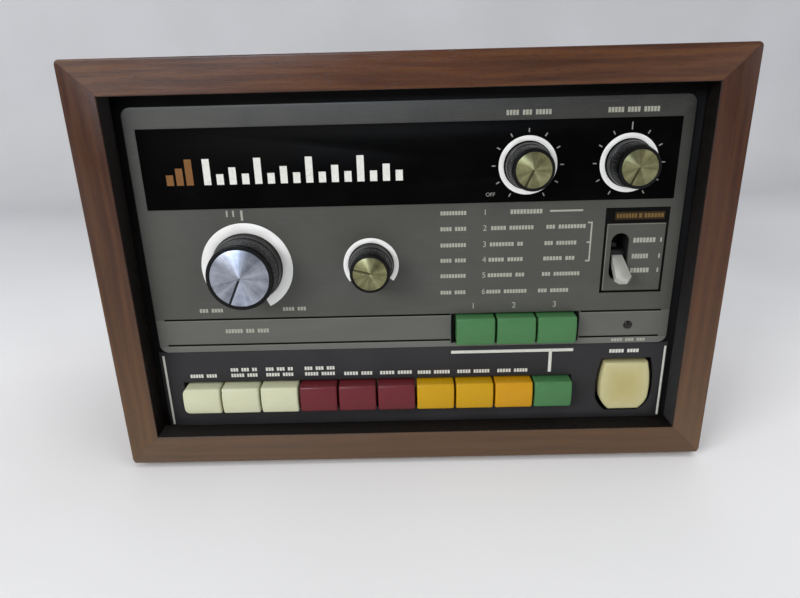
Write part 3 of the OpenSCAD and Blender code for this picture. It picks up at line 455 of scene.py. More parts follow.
def place_screws(node, places, tip, head_r, head_t, shank_r, length):
    """Screws at places, each the point of its seat; tip is the way from the head to the tip."""
    name = node + "_turned"
    facing = Vector((0, 1, 0)).rotation_difference(Vector(tip)).to_matrix()
    metal, recess = [], []
    chance = random.Random(node)
    for place in places:
        own_turn = Matrix.Rotation(chance.uniform(0, pi), 3, "Y")
        for shape, kind, back in (
            (screw(head_r, head_t, shank_r, length), metal, 0.0),
            (cross_recess(head_r * 1.15), recess, -head_t - 0.02),
        ):
            shifted(shape, 0, back * mm, 0)
            rotated(shape, facing @ own_turn)
            shifted(shape, *place)
            kind.append(shape)
    finished(as_mesh(gather(metal), name), name, "case", "steel", zinc, stands_for=node)
    finished(as_mesh(gather(recess), name + "_recess"), name + "_recess", "case", "steel", recess_shade)


# Painted shade: the near-black plate stands for the shade inside each screw's cross recess.
recess_shade = skinned("recess_painted_shade", paint(26, 26, 25), 0.6, patch=0.2)
case_head_r, case_head_t, case_shank_r = 4.0, 2.4, 2.0
low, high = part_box("case_screws")
seats = [(x, y, low.z + case_head_t * mm)
         for x in (low.x + case_head_r * mm, high.x - case_head_r * mm)
         for y in (low.y + case_head_r * mm, high.y - case_head_r * mm)]
place_screws("case_screws", seats, (0, 0, 1), case_head_r, case_head_t, case_shank_r,
             (high.z - low.z) / mm - case_head_t)
rear_head_r, rear_head_t, rear_shank_r, rear_length = 3.4, 1.8, 1.6, 16.0
low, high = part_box("rear_screws")
seats = [(x, high.y - rear_head_t * mm, z)
         for x in (low.x + rear_head_r * mm, high.x - rear_head_r * mm)
         for z in (low.z + rear_head_r * mm, high.z - rear_head_r * mm)]
place_screws("rear_screws", seats, (0, -1, 0), rear_head_r, rear_head_t, rear_shank_r, rear_length)


# ---- Chassis and rear panel ----
# Folded steel sheet, 1.5 mm thick, sprayed matt black. The chassis' face shows as a dark border
# round the fascia; the rear panel is a flat sheet with punched vents, screwed to the glue blocks.

chassis_black = skinned("chassis_black", paint(11, 11, 12), 0.6, specular=0.12, grain=0.5,
                        grain_size=1.6, patch=0.25, scratch=0.1)
rear_black = skinned("rear_black", paint(27, 27, 28), 0.5, specular=0.35, grain=0.6,
                     grain_size=1.4, patch=0.5, scratch=0.35)
eased("chassis", 0.25, chassis_black)
eased("rear_panel", 0.3, rear_black)


# ---- Fascia ----
# A pressed aluminium plate, 2 mm thick, in satin grey lacquer. A lighter band runs across it behind
# the upper keys, between two dark printed lines. It is held by the control nuts.

fascia_low, fascia_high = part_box("fascia")
fascia_face = fascia_low.y
lip_top, band_low, band_high = 62.0, 62.3, 75.3


def lacquered():
    """Grey lacquer with a painted shade darkening it towards the upper right, under the case's top board, a
    painted highlight along its lower edge, and its paler band.
    """
    made, where = new_material("fascia_grey", Specular_IOR_Level=0.35)
    patches, scratches = rubbed(where, 1.6)
    height = axis(where, "Z")
    risen = calc("DIVIDE", calc("SUBTRACT", height, fascia_low.z / mm),
                 (fascia_high.z - fascia_low.z) / mm)
    across = calc("DIVIDE", calc("SUBTRACT", axis(where, "X"), fascia_low.x / mm),
                  (fascia_high.x - fascia_low.x) / mm)
    # Painted shade: the lacquer darkens towards the top, most on the right, as under the overhang of the
    # case's top board.
    painted_top_shade = scaled(ramp(risen, (0.5, 0.0), (0.98, 1.0)),
                     ramp(across, (0.1, 0.4), (0.5, 0.8), (0.9, 0.97)))
    band = scaled(calc("GREATER_THAN", height, band_low), calc("LESS_THAN", height, band_high))
    # Painted highlight: the strip below the lower dark line is paler, as if its edge caught the light.
    lip = calc("LESS_THAN", height, lip_top)
    tint = blend(painted_top_shade, paint(70, 71, 66), paint(34, 35, 32))
    tint = blend(band, tint, paint(93, 94, 89))
    tint = blend(lip, tint, paint(104, 105, 101))
    speck = noise(where, 1.6, 3, 0.7)
    tint = blend(ramp(speck, (0.35, 0.0), (0.7, 0.2)), tint, paint(96, 97, 92))
    tint = blend(scaled(patches, 0.14), tint, paint(88, 84, 74))
    tint = blend(scaled(scratches, 0.1), tint, paint(122, 122, 116))
    rough = scaled(patches, 0.1, scaled(speck, 0.12, 0.34))
    return dressed(made, tint, rough, speck, 0.3, 0.00005)


eased("fascia", 0.5, lacquered(), segments=3)


ink_t, dash_w, dash_gap = 0.03, 1.05, 0.32


class Print:
    """Silk-screened marks on a flat face: thin plates that stand the ink's thickness proud of it."""

    def __init__(self, name, face, slot, material, thick=ink_t):
        self.shape, self.name, self.face = bmesh.new(), name, face
        self.slot, self.material, self.thick = slot, material, thick

    def bar(self, x0, x1, z0, z1, turn=0.0):
        block(self.shape, ((x1 - x0) * mm, self.thick * mm, (z1 - z0) * mm),
              ((x0 + x1) / 2 * mm, self.face - self.thick / 2 * mm, (z0 + z1) / 2 * mm), turn)

    def line(self, x0, z0, x1, z1, width):
        """A line from one point to another."""
        long, turn = hypot(x1 - x0, z1 - z0), atan2(x1 - x0, z1 - z0)
        x, z = (x0 + x1) / 2, (z0 + z1) / 2
        self.bar(x - width / 2, x + width / 2, z - long / 2, z + long / 2, turn)

    def pips(self, x0, x1, z, tall=1.8, breaks=()):
        """A row of plain upright dashes from x0 to x1; breaks lists the dashes that are left out."""
        count = max(1, round((x1 - x0 + dash_gap) / (dash_w + dash_gap)))
        step = (x1 - x0 + dash_gap) / count
        for i in range(count):
            if i not in breaks:
                left = x0 + i * step
                self.bar(left, left + step - dash_gap, z - tall / 2, z + tall / 2)

    def digits(self, words, x, z, tall):
        """Plain figures, centred on x and z."""
        curve = bpy.data.curves.new("figures", "FONT")
        curve.body, curve.align_x, curve.align_y = words, "CENTER", "CENTER"
        curve.size, curve.extrude = tall * 1.38 * mm, self.thick / 2 * mm
        carrier = placed("figures", curve)
        bpy.context.view_layer.update()
        mesh = bpy.data.meshes.new_from_object(carrier)
        bpy.data.objects.remove(carrier)
        mesh.transform(Matrix.Translation((x * mm, self.face - self.thick / 2 * mm, z * mm))
                       @ Matrix.Rotation(pi / 2, 4, "X"))
        self.shape.from_mesh(mesh)
        bpy.data.meshes.remove(mesh)

    def ticks(self, x, z, inner, outer, wide, places, long=()):
        """Short lines round a dial at places, in degrees clockwise from its top."""
        for place in places:
            a = radians(place)
            end = outer + (1.6 if place in long else 0)
            self.line(x + inner * sin(a), z + inner * cos(a),
                      x + end * sin(a), z + end * cos(a), wide)

    def done(self):
        finished(as_mesh(self.shape, self.name), self.name, "case", self.slot, self.material)


def ink(name, colour, rough=0.5, specular=0.25):
    """Printing ink, thinner and darker where it is worn."""
    made, where = new_material(name, Specular_IOR_Level=specular)
    wear_and_highlight = noise(where, 0.9, 4, 0.7)
    faded = tuple(c * 0.62 for c in colour[:3]) + (1.0,)
    return dressed(made, blend(ramp(wear_and_highlight, (0.52, 0.0), (0.72, 0.7)), colour, faded),
                   scaled(wear_and_highlight, 0.2, rough - 0.1))


white_ink = ink("white_ink", paint(214, 214, 206))
pale_ink = ink("pale_ink", paint(168, 168, 156))
black_ink = ink("black_ink", paint(10, 9, 8), specular=0.06)
orange_ink = ink("orange_ink", paint(122, 80, 30))
brown_ink = ink("brown_ink", paint(48, 36, 18), specular=0.12)
amber_ink = ink("amber_ink", paint(112, 88, 50), specular=0.12)

slot_gap = 2.6
line_end = 116.5
keys_left, keys_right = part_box("high_key_1")[0].x / mm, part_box("high_key_3")[1].x / mm

lines = Print("fascia_lines", fascia_face, "title_black", black_ink)
# The grey lines just below the dark lines, and inside the lever strip's frame, are a painted highlight, as
# if their edges caught the light.
edges = Print("fascia_line_highlights", fascia_face, "panel_grey", ink("line_highlight_grey", paint(116, 116, 110)), 0.02)
for z in (band_high, band_low):
    for x0, x1 in ((-line_end, keys_left - slot_gap), (keys_right + slot_gap, line_end)):
        lines.bar(x0, x1, z - 0.45, z + 0.45)
        edges.bar(x0, x1, z - 0.85, z - 0.5)
frame_x0, frame_x1, frame_z0, frame_z1, strip_z, frame_w = 86.8, 115.1, 84.4, 124.2, 117.0, 1.1
for x0, x1, z0, z1 in (
    (frame_x0, frame_x1, strip_z, frame_z1), (frame_x0, frame_x1, frame_z0, frame_z0 + frame_w),
    (frame_x0, frame_x0 + frame_w, frame_z0, strip_z), (frame_x1 - frame_w, frame_x1, frame_z0, strip_z),
):
    lines.bar(x0, x1, z0, z1)
inner_x0, inner_z0 = frame_x0 + frame_w + 0.1, frame_z0 + frame_w + 0.1
# Painted highlight along the inner top and left edges of the frame.
edges.bar(inner_x0, frame_x1 - frame_w - 0.1, strip_z - 0.5, strip_z - 0.1)
edges.bar(inner_x0, inner_x0 + 0.4, inner_z0, strip_z - 0.6)
lines.done()
edges.done()

# The table of rhythms: six rows, each with a mark, its number and two columns of marks.
table_rows = (
    (116.3, 36.2, 55.0, 60.8, 78.2), (108.8, 35.8, 50.6, 60.4, 74.6), (101.6, 35.4, 50.8, 60.2, 74.2),
    (94.2, 35.2, 51.8, 60.0, 77.0), (86.2, 34.8, 53.2, 58.6, 72.4))
head_z = 123.5
lettering = Print("fascia_marks", fascia_face, "ring_white", pale_ink)
for row, z in enumerate((head_z, *(r[0] for r in table_rows))):
    lettering.pips(13.6, 25.0, z, breaks=((4,) if row % 2 else ()))
    lettering.digits(str(row + 1), 33.4, z, 2.7)
lettering.pips(44.6, 58.6, head_z, tall=2.0)
lettering.bar(62.0, 76.6, head_z - 0.4, head_z + 0.4)
for row, (z, x0, x1, x2, x3) in enumerate(table_rows, 1):
    lettering.pips(x0, x1, z, breaks=((5,) if row % 2 else (8,)))
    lettering.pips(x2, x3, z, breaks=((3,) if row % 3 else (6,)))
lettering.bar(80.6, 81.3, 99.8, 118.2)
for z in (117.85, 108.8, 100.15):
    lettering.bar(79.2, 80.6, z - 0.35, z + 0.35)
for x0, x1, z, tall, breaks in (
    (-99.1, -88.3, 79.8, 1.8, (3,)), (-60.1, -49.4, 79.9, 1.8, (4,)),
    (-88.2, -67.8, 69.2, 2.0, (6, 10)), (94.7, 110.5, 60.4, 1.4, (4, 8)),
    (41.4, 60.2, 165.8, 2.1, (4, 8)), (84.0, 105.4, 165.9, 2.1, (5, 10)),
):
    lettering.pips(x0, x1, z, tall, breaks)
for x in (-81.0, -78.2):
    lettering.bar(x - 0.35, x + 0.35, 124.2, 127.0)
lettering.bar(-75.0, -74.0, 122.4, 127.0)
for z, x1 in ((109.2, 110.0), (101.7, 107.5), (95.0, 108.5)):
    lettering.pips(100.2, x1, z, tall=2.2)
    lettering.bar(112.2, 112.9, z - 1.0, z + 1.0)
for i in (1, 2, 3):
    low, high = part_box(f"high_key_{i}")
    lettering.digits(str(i), (low.x + high.x) / 2 / mm - 0.9, 79.2, 2.9)
lettering.done()

strip = Print("lever_strip", fascia_face - ink_t * mm, "disc_gold", brown_ink)
strip.bar(91.0, 113.0, 118.7, 122.3)
strip.done()
strip = Print("lever_strip_marks", fascia_face - 2 * ink_t * mm, "disc_gold", amber_ink)
strip.pips(91.7, 100.6, 120.5, tall=1.9)
strip.bar(101.5, 102.9, 119.5, 121.5)
strip.pips(103.9, 112.4, 120.5, tall=1.9)
strip.done()


# ---- Key plate ----
# A thinner steel plate below the fascia, in satin black lacquer, with one slot for the ten lower
# keys and an opening for the start key. White lines and plain dashes are printed on it.

plate_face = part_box("key_plate")[0].y
key_plate_black = skinned("key_plate_black", paint(42, 41, 43), 0.45, specular=0.2, grain=0.4,
                          grain_size=1.2, patch=0.3, scratch=0.2)
eased("key_plate", 0.3, key_plate_black)

labels = Print("key_plate_marks", plate_face, "ring_white", white_ink)
labels.line(-120.2, 18.9, -120.2, 56.6, 1.0)
labels.line(121.2, 18.9, 121.2, 56.4, 1.0)
labels.bar(18.6, 77.2, 54.6, 56.1)
labels.bar(65.6, 67.1, 43.8, 54.6)
for x0, x1, rows in (
    (-108.5, -95.7, (45.4,)), (-88.5, -75.8, (45.4, 48.4)), (-71.4, -58.3, (45.4, 48.4)),
    (-52.5, -38.0, (45.4, 48.4)), (-33.4, -19.8, (45.2,)), (-15.9, -0.5, (45.2,)),
    (2.4, 17.9, (45.0,)), (21.7, 37.2, (45.0,)), (41.1, 55.6, (45.0,)),
):
    for i, z in enumerate(rows):
        labels.pips(x0, x1, z, breaks=((3, 7) if i else (5,)))
labels.pips(94.6, 108.6, 54.2, breaks=(5,))
labels.done()


# ---- Title plate ----
# A thin aluminium plate printed satin black, stuck across the top of the fascia. It holds a plain
# pattern of bars for the beats, led in by three bars in orange, and the scales of two dials.

title_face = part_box("title_plate")[0].y
eased("title_plate", 0.12, skinned("title_black", paint(4, 4, 4), 0.36, specular=0.015, grain=0.1,
                                   patch=0.1, scratch=0.04))

bar_w, bar_foot, low_bar, half_bar, full_bar = 3.1, 138.6, 4.6, 7.4, 11.2
for name, left, pitch, slot, colour, bars in (
    ("beat_bars", -89.0, 5.55, "ring_white", ink("title_white", paint(226, 226, 220), 0.4),
     (full_bar, low_bar, half_bar, low_bar) * 4),
    ("lead_bars", -105.3, 4.3, "disc_gold", orange_ink, (low_bar, half_bar, full_bar)),
):
    beats = Print(name, title_face, slot, colour)
    for i, tall in enumerate(bars):
        beats.bar(left + i * pitch, left + i * pitch + bar_w, bar_foot, bar_foot + tall)
    beats.done()


# ---- Dial rings ----
# Moulded white plastic rings pressed on the plates round the knobs; the two lower ones are open at
# the bottom. Short printed lines and plain figures stand round them.

eased("dial_rings", 0.14, skinned("ring_white", paint(245, 246, 245), 0.35, coat=0.2, grain=0.1,
                                  scratch=0.08, wear_and_highlight=paint(214, 208, 190)))


def centre(node):
    low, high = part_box(node)
    return (low.x + high.x) / 2, (low.z + high.z) / 2


scale_marks = Print("dial_scales", title_face, "ring_white", ink("scale_grey", paint(150, 150, 146)))
for node, long in (("volume_knob", ()), ("balance_knob", (0,))):
    x, z = (c / mm for c in centre(node))
    scale_marks.ticks(x, z, 13.9, 15.5, 0.5, range(-150, 151, 30), long)
scale_marks.digits("OFF", 35.4, 131.4, 1.7)
scale_marks.done()


# ---- Controls behind the plates ----
# Three potentiometers with plated cans and a rotary selector on phenolic wafers. Each is clamped by
# a hexagon nut on its bushing, hidden under its knob, and turns a 6 mm shaft.

eased("potentiometers", 0.25, plated("pot_can", paint(170, 170, 166), 0.38))


def laminate(name, dark, light, rough=0.5):
    """Brown board pressed from paper and resin."""
    made, where = new_material(name)
    paper = noise(where, 0.8, 5, 0.65)
    return dressed(made, ramp(paper, (0.35, dark), (0.65, light)),
                   scaled(paper, 0.2, rough - 0.1))


eased("selector_switch", 0.25, laminate("phenolic", paint(112, 84, 46), paint(146, 115, 68)))
nut_plate = plated("nut_plate", paint(206, 206, 202), 0.2)
eased("control_nuts", 0.25, nut_plate)


# ---- Knobs ----
# Gloss black moulded knobs with a plain skirt and fine flutes round the grip. A spun metal disc is
# pressed into each face: bright on the tempo knob, pale gold on the small ones.

knob_black = skinned("knob_black", paint(5, 5, 6), 0.26, specular=0.16, coat=0.04, grain=0.06,
                     patch=0.08, scratch=0.05)
disc_play, skirt_share, flute_gap, flute_deep = 0.05, 0.74, 0.16, 0.24
nut_hollow_r, nut_hollow_t, shaft_hole_r = 7.35, 4.4, 3.05


def knob(control, flutes, lip):
    """A knob whose grip is fluted between its skirt and its rim."""
    node, disc = control + "_knob", control + "_disc"
    low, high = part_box(node)
    seat_low, seat_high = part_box(disc)
    x, z = centre(node)
    base_r, deep = (high.x - low.x) / 2 / mm, (high.y - low.y) / mm
    disc_r, disc_t = (seat_high.x - seat_low.x) / 2 / mm, (seat_high.y - seat_low.y) / mm
    seat_r = disc_r + disc_play
    top_r = seat_r + lip
    skirt_y = deep * skirt_share
    grip_from, grip_to, floor_y = 1.4, skirt_y - 0.6, disc_t + 2

    def wall(y):
        return top_r + (base_r - top_r) * y / deep

    shape = turned_part([
        (0, disc_t), (seat_r, disc_t), (seat_r, 0.25), (seat_r + 0.25, 0),
        (top_r - 0.5, 0), (top_r - 0.12, 0.12), (wall(0.6), 0.6), (wall(grip_from), grip_from),
        (wall(grip_to), grip_to), (wall(skirt_y), skirt_y),
        (wall(skirt_y + 0.5), skirt_y + 0.5), (base_r, deep - 0.4), (base_r - 0.3, deep),
        (nut_hollow_r, deep), (nut_hollow_r, deep - nut_hollow_t), (shaft_hole_r, deep - nut_hollow_t),
        (shaft_hole_r, floor_y), (0, floor_y)], flutes * 2)
    grip_r = (wall(grip_from) - 0.3) * 0.98 * mm
    grip = [f for f in shape.faces if all(
        (grip_from - 0.01) * mm < v.co.y < (grip_to + 0.01) * mm and hypot(v.co.x, v.co.z) > grip_r
        for v in f.verts)]
    bmesh.ops.inset_individual(shape, faces=grip, thickness=flute_gap * mm, depth=-flute_deep * mm,
                               use_even_offset=True)
    shifted(shape, x, low.y, z)
    finished(as_mesh(shape, node + "_moulded", 38), node + "_moulded", control, "knob_black",
             knob_black, stands_for=node)


knob("tempo", 36, 1.75)
for control in ("selector", "volume", "balance"):
    knob(control, 24, 1.25)


def spun(name, colour, dark, x, z, aim, line_ink):
    """Metal spun on a lathe round the axis at x and z, in metres: its grooves spread light outwards.

    A dark line of strength line_ink is painted along the pointer's cut, where aim points.
    """
    made, where = new_material(name, shift=(-x / mm, 0, -z / mm), Metallic=1.0, Anisotropic=0.82)
    flat = vector("MULTIPLY", where, (1, 0, 1))
    outward = vector("NORMALIZE", flat)
    # Painted reflection: fans of lighter and darker metal round the axis stand in for the bright and dark
    # sectors that the spun grooves reflect.
    painted_sheen_fans = noise(vector("ADD", outward, (0, 0.02, 0)), 2.2, 3, 0.55)
    radius = add(where, "CombineXYZ", {"X": vector("LENGTH", flat)}).outputs[0]
    cuts = noise(radius, 5.5, 3, 0.7)
    stain = noise(where, 0.22, 4, 0.6)
    mixed = calc("ADD", scaled(painted_sheen_fans, 0.55), scaled(stain, 0.45))
    tint = ramp(mixed, (0.36, dark), (0.62, colour))
    tint = blend(scaled(calc("GREATER_THAN", cuts, 0.6), 0.25), tint, dark)
    beside = calc("ABSOLUTE", vector("DOT_PRODUCT", flat, aim.cross((0, 1, 0))))
    line = scaled(ramp(beside, (0.5, 1.0), (0.62, 0.0)),
                  calc("GREATER_THAN", vector("DOT_PRODUCT", flat, aim), 1.2))
    tint = blend(scaled(line, line_ink), tint, paint(26, 26, 28))
    return dressed(made, tint, scaled(cuts, 0.2, 0.26), cuts, 0.12, 0.00004, along=outward)


def disc(control, slot, bright, dark, line_ink):
    """The disc with its fine edge chamfer; the sides that face the front inside its cut are the pointer."""
    node = control + "_disc"
    low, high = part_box(node)
    shape = merged(node)
    rim = [e for e in shape.edges if len(e.link_faces) == 2 and e.calc_face_angle() > radians(60)
           and max(v.co.y for v in e.verts) < low.y + 0.02 * mm]
    bevelled(shape, rim, 0.1, 2)
    x, z = centre(node)
    aim = Vector()
    for side in shape.faces:
        if side.normal.y < -0.9 and side.calc_center_median().y > low.y + 0.1 * mm:
            side.material_index = 1
            aim += side.calc_center_median() - Vector((x, 0, z))
    aim.y = 0
    finished(as_mesh(shape, node + "_spun", 35), node + "_spun", control, slot,
             spun("spun_" + control, bright, dark, x, z, aim.normalized(), line_ink), pointer_black,
             stands_for=node)


pointer_black = skinned("pointer_black", paint(24, 24, 26), 0.5, patch=0.2)
silver, silver_dark = paint(171, 176, 187), paint(116, 121, 133)
gold, gold_dark = paint(145, 143, 106), paint(95, 94, 66)
disc("tempo", "disc_silver", silver, silver_dark, 0.85)
for control in ("selector", "volume", "balance"):
    disc(control, "disc_gold", gold, gold_dark, 0.4)
for control in ("tempo", "selector", "volume", "balance"):
    eased(control + "_shaft", 0.2, plated("turned_" + control, paint(178, 178, 172), 0.3, (1, 0.06, 1)))


# ---- Keys ----
# Hollow caps of moulded plastic with rounded rims, each on a stem that runs back through a guide to
# its switch. Three are cream, three dark red, two yellow, one amber and four green.

def key_plastic(name, colour, rim, deep):
    """Gloss moulded plastic: a painted highlight along the rim, which the rim attribute marks, and a warmer
    body.
    """
    made, where = new_material(name, Specular_IOR_Level=0.18, Coat_Weight=0.03, Coat_Roughness=0.14)
    patches, scratches = rubbed(where, 2.0)
    rim_mask = add(where, "Attribute", attribute_name="rim").outputs["Fac"]
    cloud = noise(where, 0.16, 4, 0.6)
    tint = blend(ramp(cloud, (0.38, 0.0), (0.68, 1.0)), colour, deep)
    # Painted highlight: the rim is blended paler.
    tint = blend(scaled(rim_mask, 0.55), tint, rim)
    tint = blend(scaled(scratches, 0.12), tint, rim)
    rough = scaled(patches, 0.12, scaled(cloud, 0.1, 0.22))
    return dressed(made, tint, rough, noise(where, 1.4, 2, 0.5), 0.12, 0.00006)


cream = key_plastic("key_cream", paint(191, 194, 161), paint(214, 216, 189), paint(188, 189, 148))
dark_red = key_plastic("key_dark_red", paint(94, 28, 34), paint(112, 48, 54), paint(84, 24, 30))
yellow = key_plastic("key_yellow", paint(187, 139, 0), paint(200, 158, 30), paint(179, 132, 0))
amber = key_plastic("key_amber", paint(195, 137, 0), paint(202, 152, 34), paint(189, 130, 0))
green = key_plastic("key_green", paint(53, 108, 60), paint(86, 132, 88), paint(46, 100, 55))

key_wall, cap_edge, row_end_corner = 1.8, 0.85, 2.6
crown, crown_steps, rim_highlight_w, rim_highlight_t = 1.1, 10, 1.4, 0.9
stem_w, stem_h = 6.0, 4.0
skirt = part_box("chassis")[0].y + 4.5 * mm


def hollowed(shape, node, thick, wide):
    """Hollows a cap from behind, up to thick and the wall from its face, and stands a stem in it."""
    low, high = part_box(node)
    middle = (low + high) / 2
    inside = max(shape.faces, key=lambda f: f.calc_center_median().y)
    bmesh.ops.inset_region(shape, faces=[inside], thickness=key_wall * mm, use_even_offset=True)
    floor_of_cap = bmesh.ops.extrude_discrete_faces(shape, faces=[inside])["faces"][0]
    bmesh.ops.translate(shape, verts=floor_of_cap.verts, vec=(
        0, low.y + (thick + key_wall) * mm - skirt, 0))
    long = high.y - low.y - (thick + key_wall / 2) * mm
    block(shape, (wide * mm, long, stem_h * mm), (middle.x, high.y - long / 2, middle.z))
    bmesh.ops.recalc_face_normals(shape, faces=shape.faces)


def key(node, material, round_left=False):
    """A hollow cap with a crowned face, and its stem, both measured from the CAD key."""
    low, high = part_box(node)
    middle, tall = (low + high) / 2, high.z - low.z

    def fall(z):
        return crown * mm * (2 * (z - middle.z) / tall) ** 2

    shape = bmesh.new()
    block(shape, (high.x - low.x, skirt - low.y, tall), (middle.x, (low.y + skirt) / 2, middle.z))
    wear_and_highlight = shape.verts.layers.float.new("rim")
    if round_left:
        end = [e for e in shape.edges if e.verts[0].co.x < middle.x and e.verts[1].co.x < middle.x
               and abs(e.verts[0].co.y - e.verts[1].co.y) > 5 * mm]
        bevelled(shape, end, row_end_corner, 6)
    upright = [e for e in shape.edges if abs(e.verts[0].co.z - e.verts[1].co.z) > tall / 2
               and max(v.co.y for v in e.verts) < low.y + 0.01 * mm]
    bmesh.ops.subdivide_edges(shape, edges=upright, cuts=crown_steps)
    front = [v for v in shape.verts if v.co.y < low.y + 0.01 * mm]
    rim = [e for e in shape.edges if e.verts[0] in front and e.verts[1] in front
           and e.calc_face_angle() > radians(60)]
    corners = [e for e in shape.edges if (e.verts[0] in front) != (e.verts[1] in front)
               and e.calc_face_angle() > radians(60)]
    for vert in front:
        vert.co.y += fall(vert.co.z)
    bevelled(shape, rim + corners, cap_edge, 4)
    # The rim attribute marks a painted highlight on the face's edges, as if they caught the light.
    for vert in shape.verts:
        side = min(vert.co.x - low.x, high.x - vert.co.x, vert.co.z - low.z, high.z - vert.co.z)
        by_face = vert.co.y < low.y + fall(vert.co.z) + rim_highlight_t * mm
        vert[wear_and_highlight] = 1.0 if by_face and side < rim_highlight_w * mm else 0.0
    hollowed(shape, node, crown, stem_w)
    finished(as_mesh(shape, node + "_cap", 40), node + "_cap", node, slot_of[node], material,
             stands_for=node)


for n, material in enumerate([cream] * 3 + [dark_red] * 3 + [yellow] * 2 + [amber, green], 1):
    key(f"low_key_{n}", material, round_left=n == 1)
for n in (1, 2, 3):
    key(f"high_key_{n}", green)


# ---- Start key ----
# One large cream cap with bowed sides and rounded lower corners, nearly flush with the key plate.
# Its face leans back towards the top and is dished inside a rim that carries a painted highlight.

start_cream = key_plastic("start_cream", paint(185, 174, 118), paint(201, 198, 158), paint(178, 167, 112))
start_edge, start_lean, start_stem_w, start_trim = 1.0, 1.0, 8.0, 0.55
start_rim = ((1.4, 0.05, 0.9), (2.2, 0.1, 0.5), (4.2, 0.1, 0.1))


def start_cap():
    """A cap on the CAD key's outline with a rounded front edge and a dish inside a rim with a painted
    highlight.

    start_rim lists how far each step of the dish goes in and down, and how much painted highlight it leaves
    on the face.
    """
    low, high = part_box("start_key")
    middle, half = (low + high) / 2, (high.x - low.x) / 2
    shape = merged("start_key", flat=0)
    wear_and_highlight = shape.verts.layers.float.new("rim")
    cut = bmesh.ops.bisect_plane(
        shape, geom=shape.verts[:] + shape.edges[:] + shape.faces[:],
        plane_co=(0, low.y + (start_lean + key_wall / 2) * mm, 0), plane_no=(0, 1, 0))["geom_cut"]
    bmesh.ops.delete(shape, geom=[v for v in shape.verts if v not in cut], context="VERTS")
    bmesh.ops.dissolve_limit(shape, angle_limit=radians(0.3), verts=shape.verts, edges=shape.edges)
    front = bmesh.ops.contextual_create(shape, geom=shape.edges[:])["faces"][0]
    shifted(shape, 0, low.y - front.verts[0].co.y, 0)
    trim = 1 - start_trim * mm / half
    bmesh.ops.scale(shape, verts=shape.verts, vec=(trim, 1, trim), space=Matrix.Translation(-middle))
    back = bmesh.ops.extrude_face_region(shape, geom=[front])["geom"]
    bmesh.ops.translate(shape, verts=[v for v in back if isinstance(v, bmesh.types.BMVert)],
                        vec=(0, skirt - low.y, 0))
    bmesh.ops.recalc_face_normals(shape, faces=shape.faces)
    front = min(shape.faces, key=lambda f: f.calc_center_median().y)
    bevelled(shape, front.edges[:], start_edge, 4)
    # A painted highlight: the front edge is marked fully, the rest of the cap lightly.
    for vert in shape.verts:
        vert[wear_and_highlight] = 1.0 if vert.co.y < low.y + 2.2 * mm else 0.3
    face = min(shape.faces, key=lambda f: f.calc_center_median().y)
    reach = half * trim - start_edge * mm
    for width, sink, left in start_rim:
        face = bmesh.ops.extrude_discrete_faces(shape, faces=[face])["faces"][0]
        share = 1 - width * mm / reach
        reach *= share
        bmesh.ops.scale(shape, verts=face.verts, vec=(share, 1, share), space=Matrix.Translation(-middle))
        bmesh.ops.translate(shape, verts=face.verts, vec=(0, sink * mm, 0))
        for vert in face.verts:
            vert[wear_and_highlight] = left
    for vert in shape.verts:
        if vert.co.y < low.y + 3 * mm:
            vert.co.y += start_lean * mm * (vert.co.z - low.z) / (high.z - low.z)
    hollowed(shape, "start_key", start_lean, start_stem_w)
    return as_mesh(shape, "start_cap", 40)


finished(start_cap(), "start_cap", "start_key", "start_cream", start_cream, stands_for="start_key")


# ---- Key bank ----
# Folded and passivated steel frames guide the stems; black moulded switches stand behind them, one
# for each key, with their solder tags to the rear.

switch_black = skinned("switch_black", paint(20, 20, 20), 0.5, specular=0.2, grain=0.4, patch=0.3)
eased("bank_frames", 0.2, plated("bank_steel", paint(176, 168, 142), 0.4, (1, 1, 0.08)))
eased("key_switches", 0.3, switch_black)
eased("start_switch", 0.3, switch_black)


# ---- Lever switch ----
# A flat satin metal lever on a pin through a black moulded body. It comes out of a slot with round
# ends, and round its pin, inside the slot, it carries a painted shade.

pin_y, pin_z, shade_r = -56.0, 101.6, 3.2


def lever_finish():
    made, where = new_material("lever_satin", Metallic=0.35, Specular_IOR_Level=0.5)
    patches, scratches = rubbed(where, 2.5)
    apart = vector("MULTIPLY", vector("SUBTRACT", where, (0, pin_y, pin_z)), (0, 1, 1))
    # Painted shade: the lever is painted dark round its pin, inside the slot, where the slot's shade falls.
    painted_slot_shade = calc("LESS_THAN", vector("LENGTH", apart), shade_r)
    tint = blend(scaled(patches, 0.35), paint(196, 196, 190), paint(160, 160, 154))
    tint = blend(painted_slot_shade, tint, paint(30, 30, 30))
    return dressed(made, tint, scaled(scratches, 0.15, 0.36),
                   noise(where, 1.5, 2, 0.5), 0.15, 0.00005)


eased("lever", 0.55, lever_finish(), segments=3)
eased("lever_switch", 0.3, switch_black)


# ---- Lamp ----
# A small clear red lens, dark while it is unlit, pushed through the fascia from behind.

def lens():
    made, where = new_material("lamp_red", Specular_IOR_Level=0.3, Coat_Weight=0.15, Coat_Roughness=0.08)
    depth = noise(where, 1.2, 3, 0.6)
    return dressed(made, ramp(depth, (0.35, paint(18, 12, 12)), (0.65, paint(30, 16, 15))),
                   scaled(depth, 0.12, 0.1))


eased("lamp", 0.12, lens())


# ---- Rear sockets ----
# Two 6.35 mm jacks with plated nuts, a moulded two-pin mains inlet, and a fuse holder with a slotted
# cap, all in the rear panel.

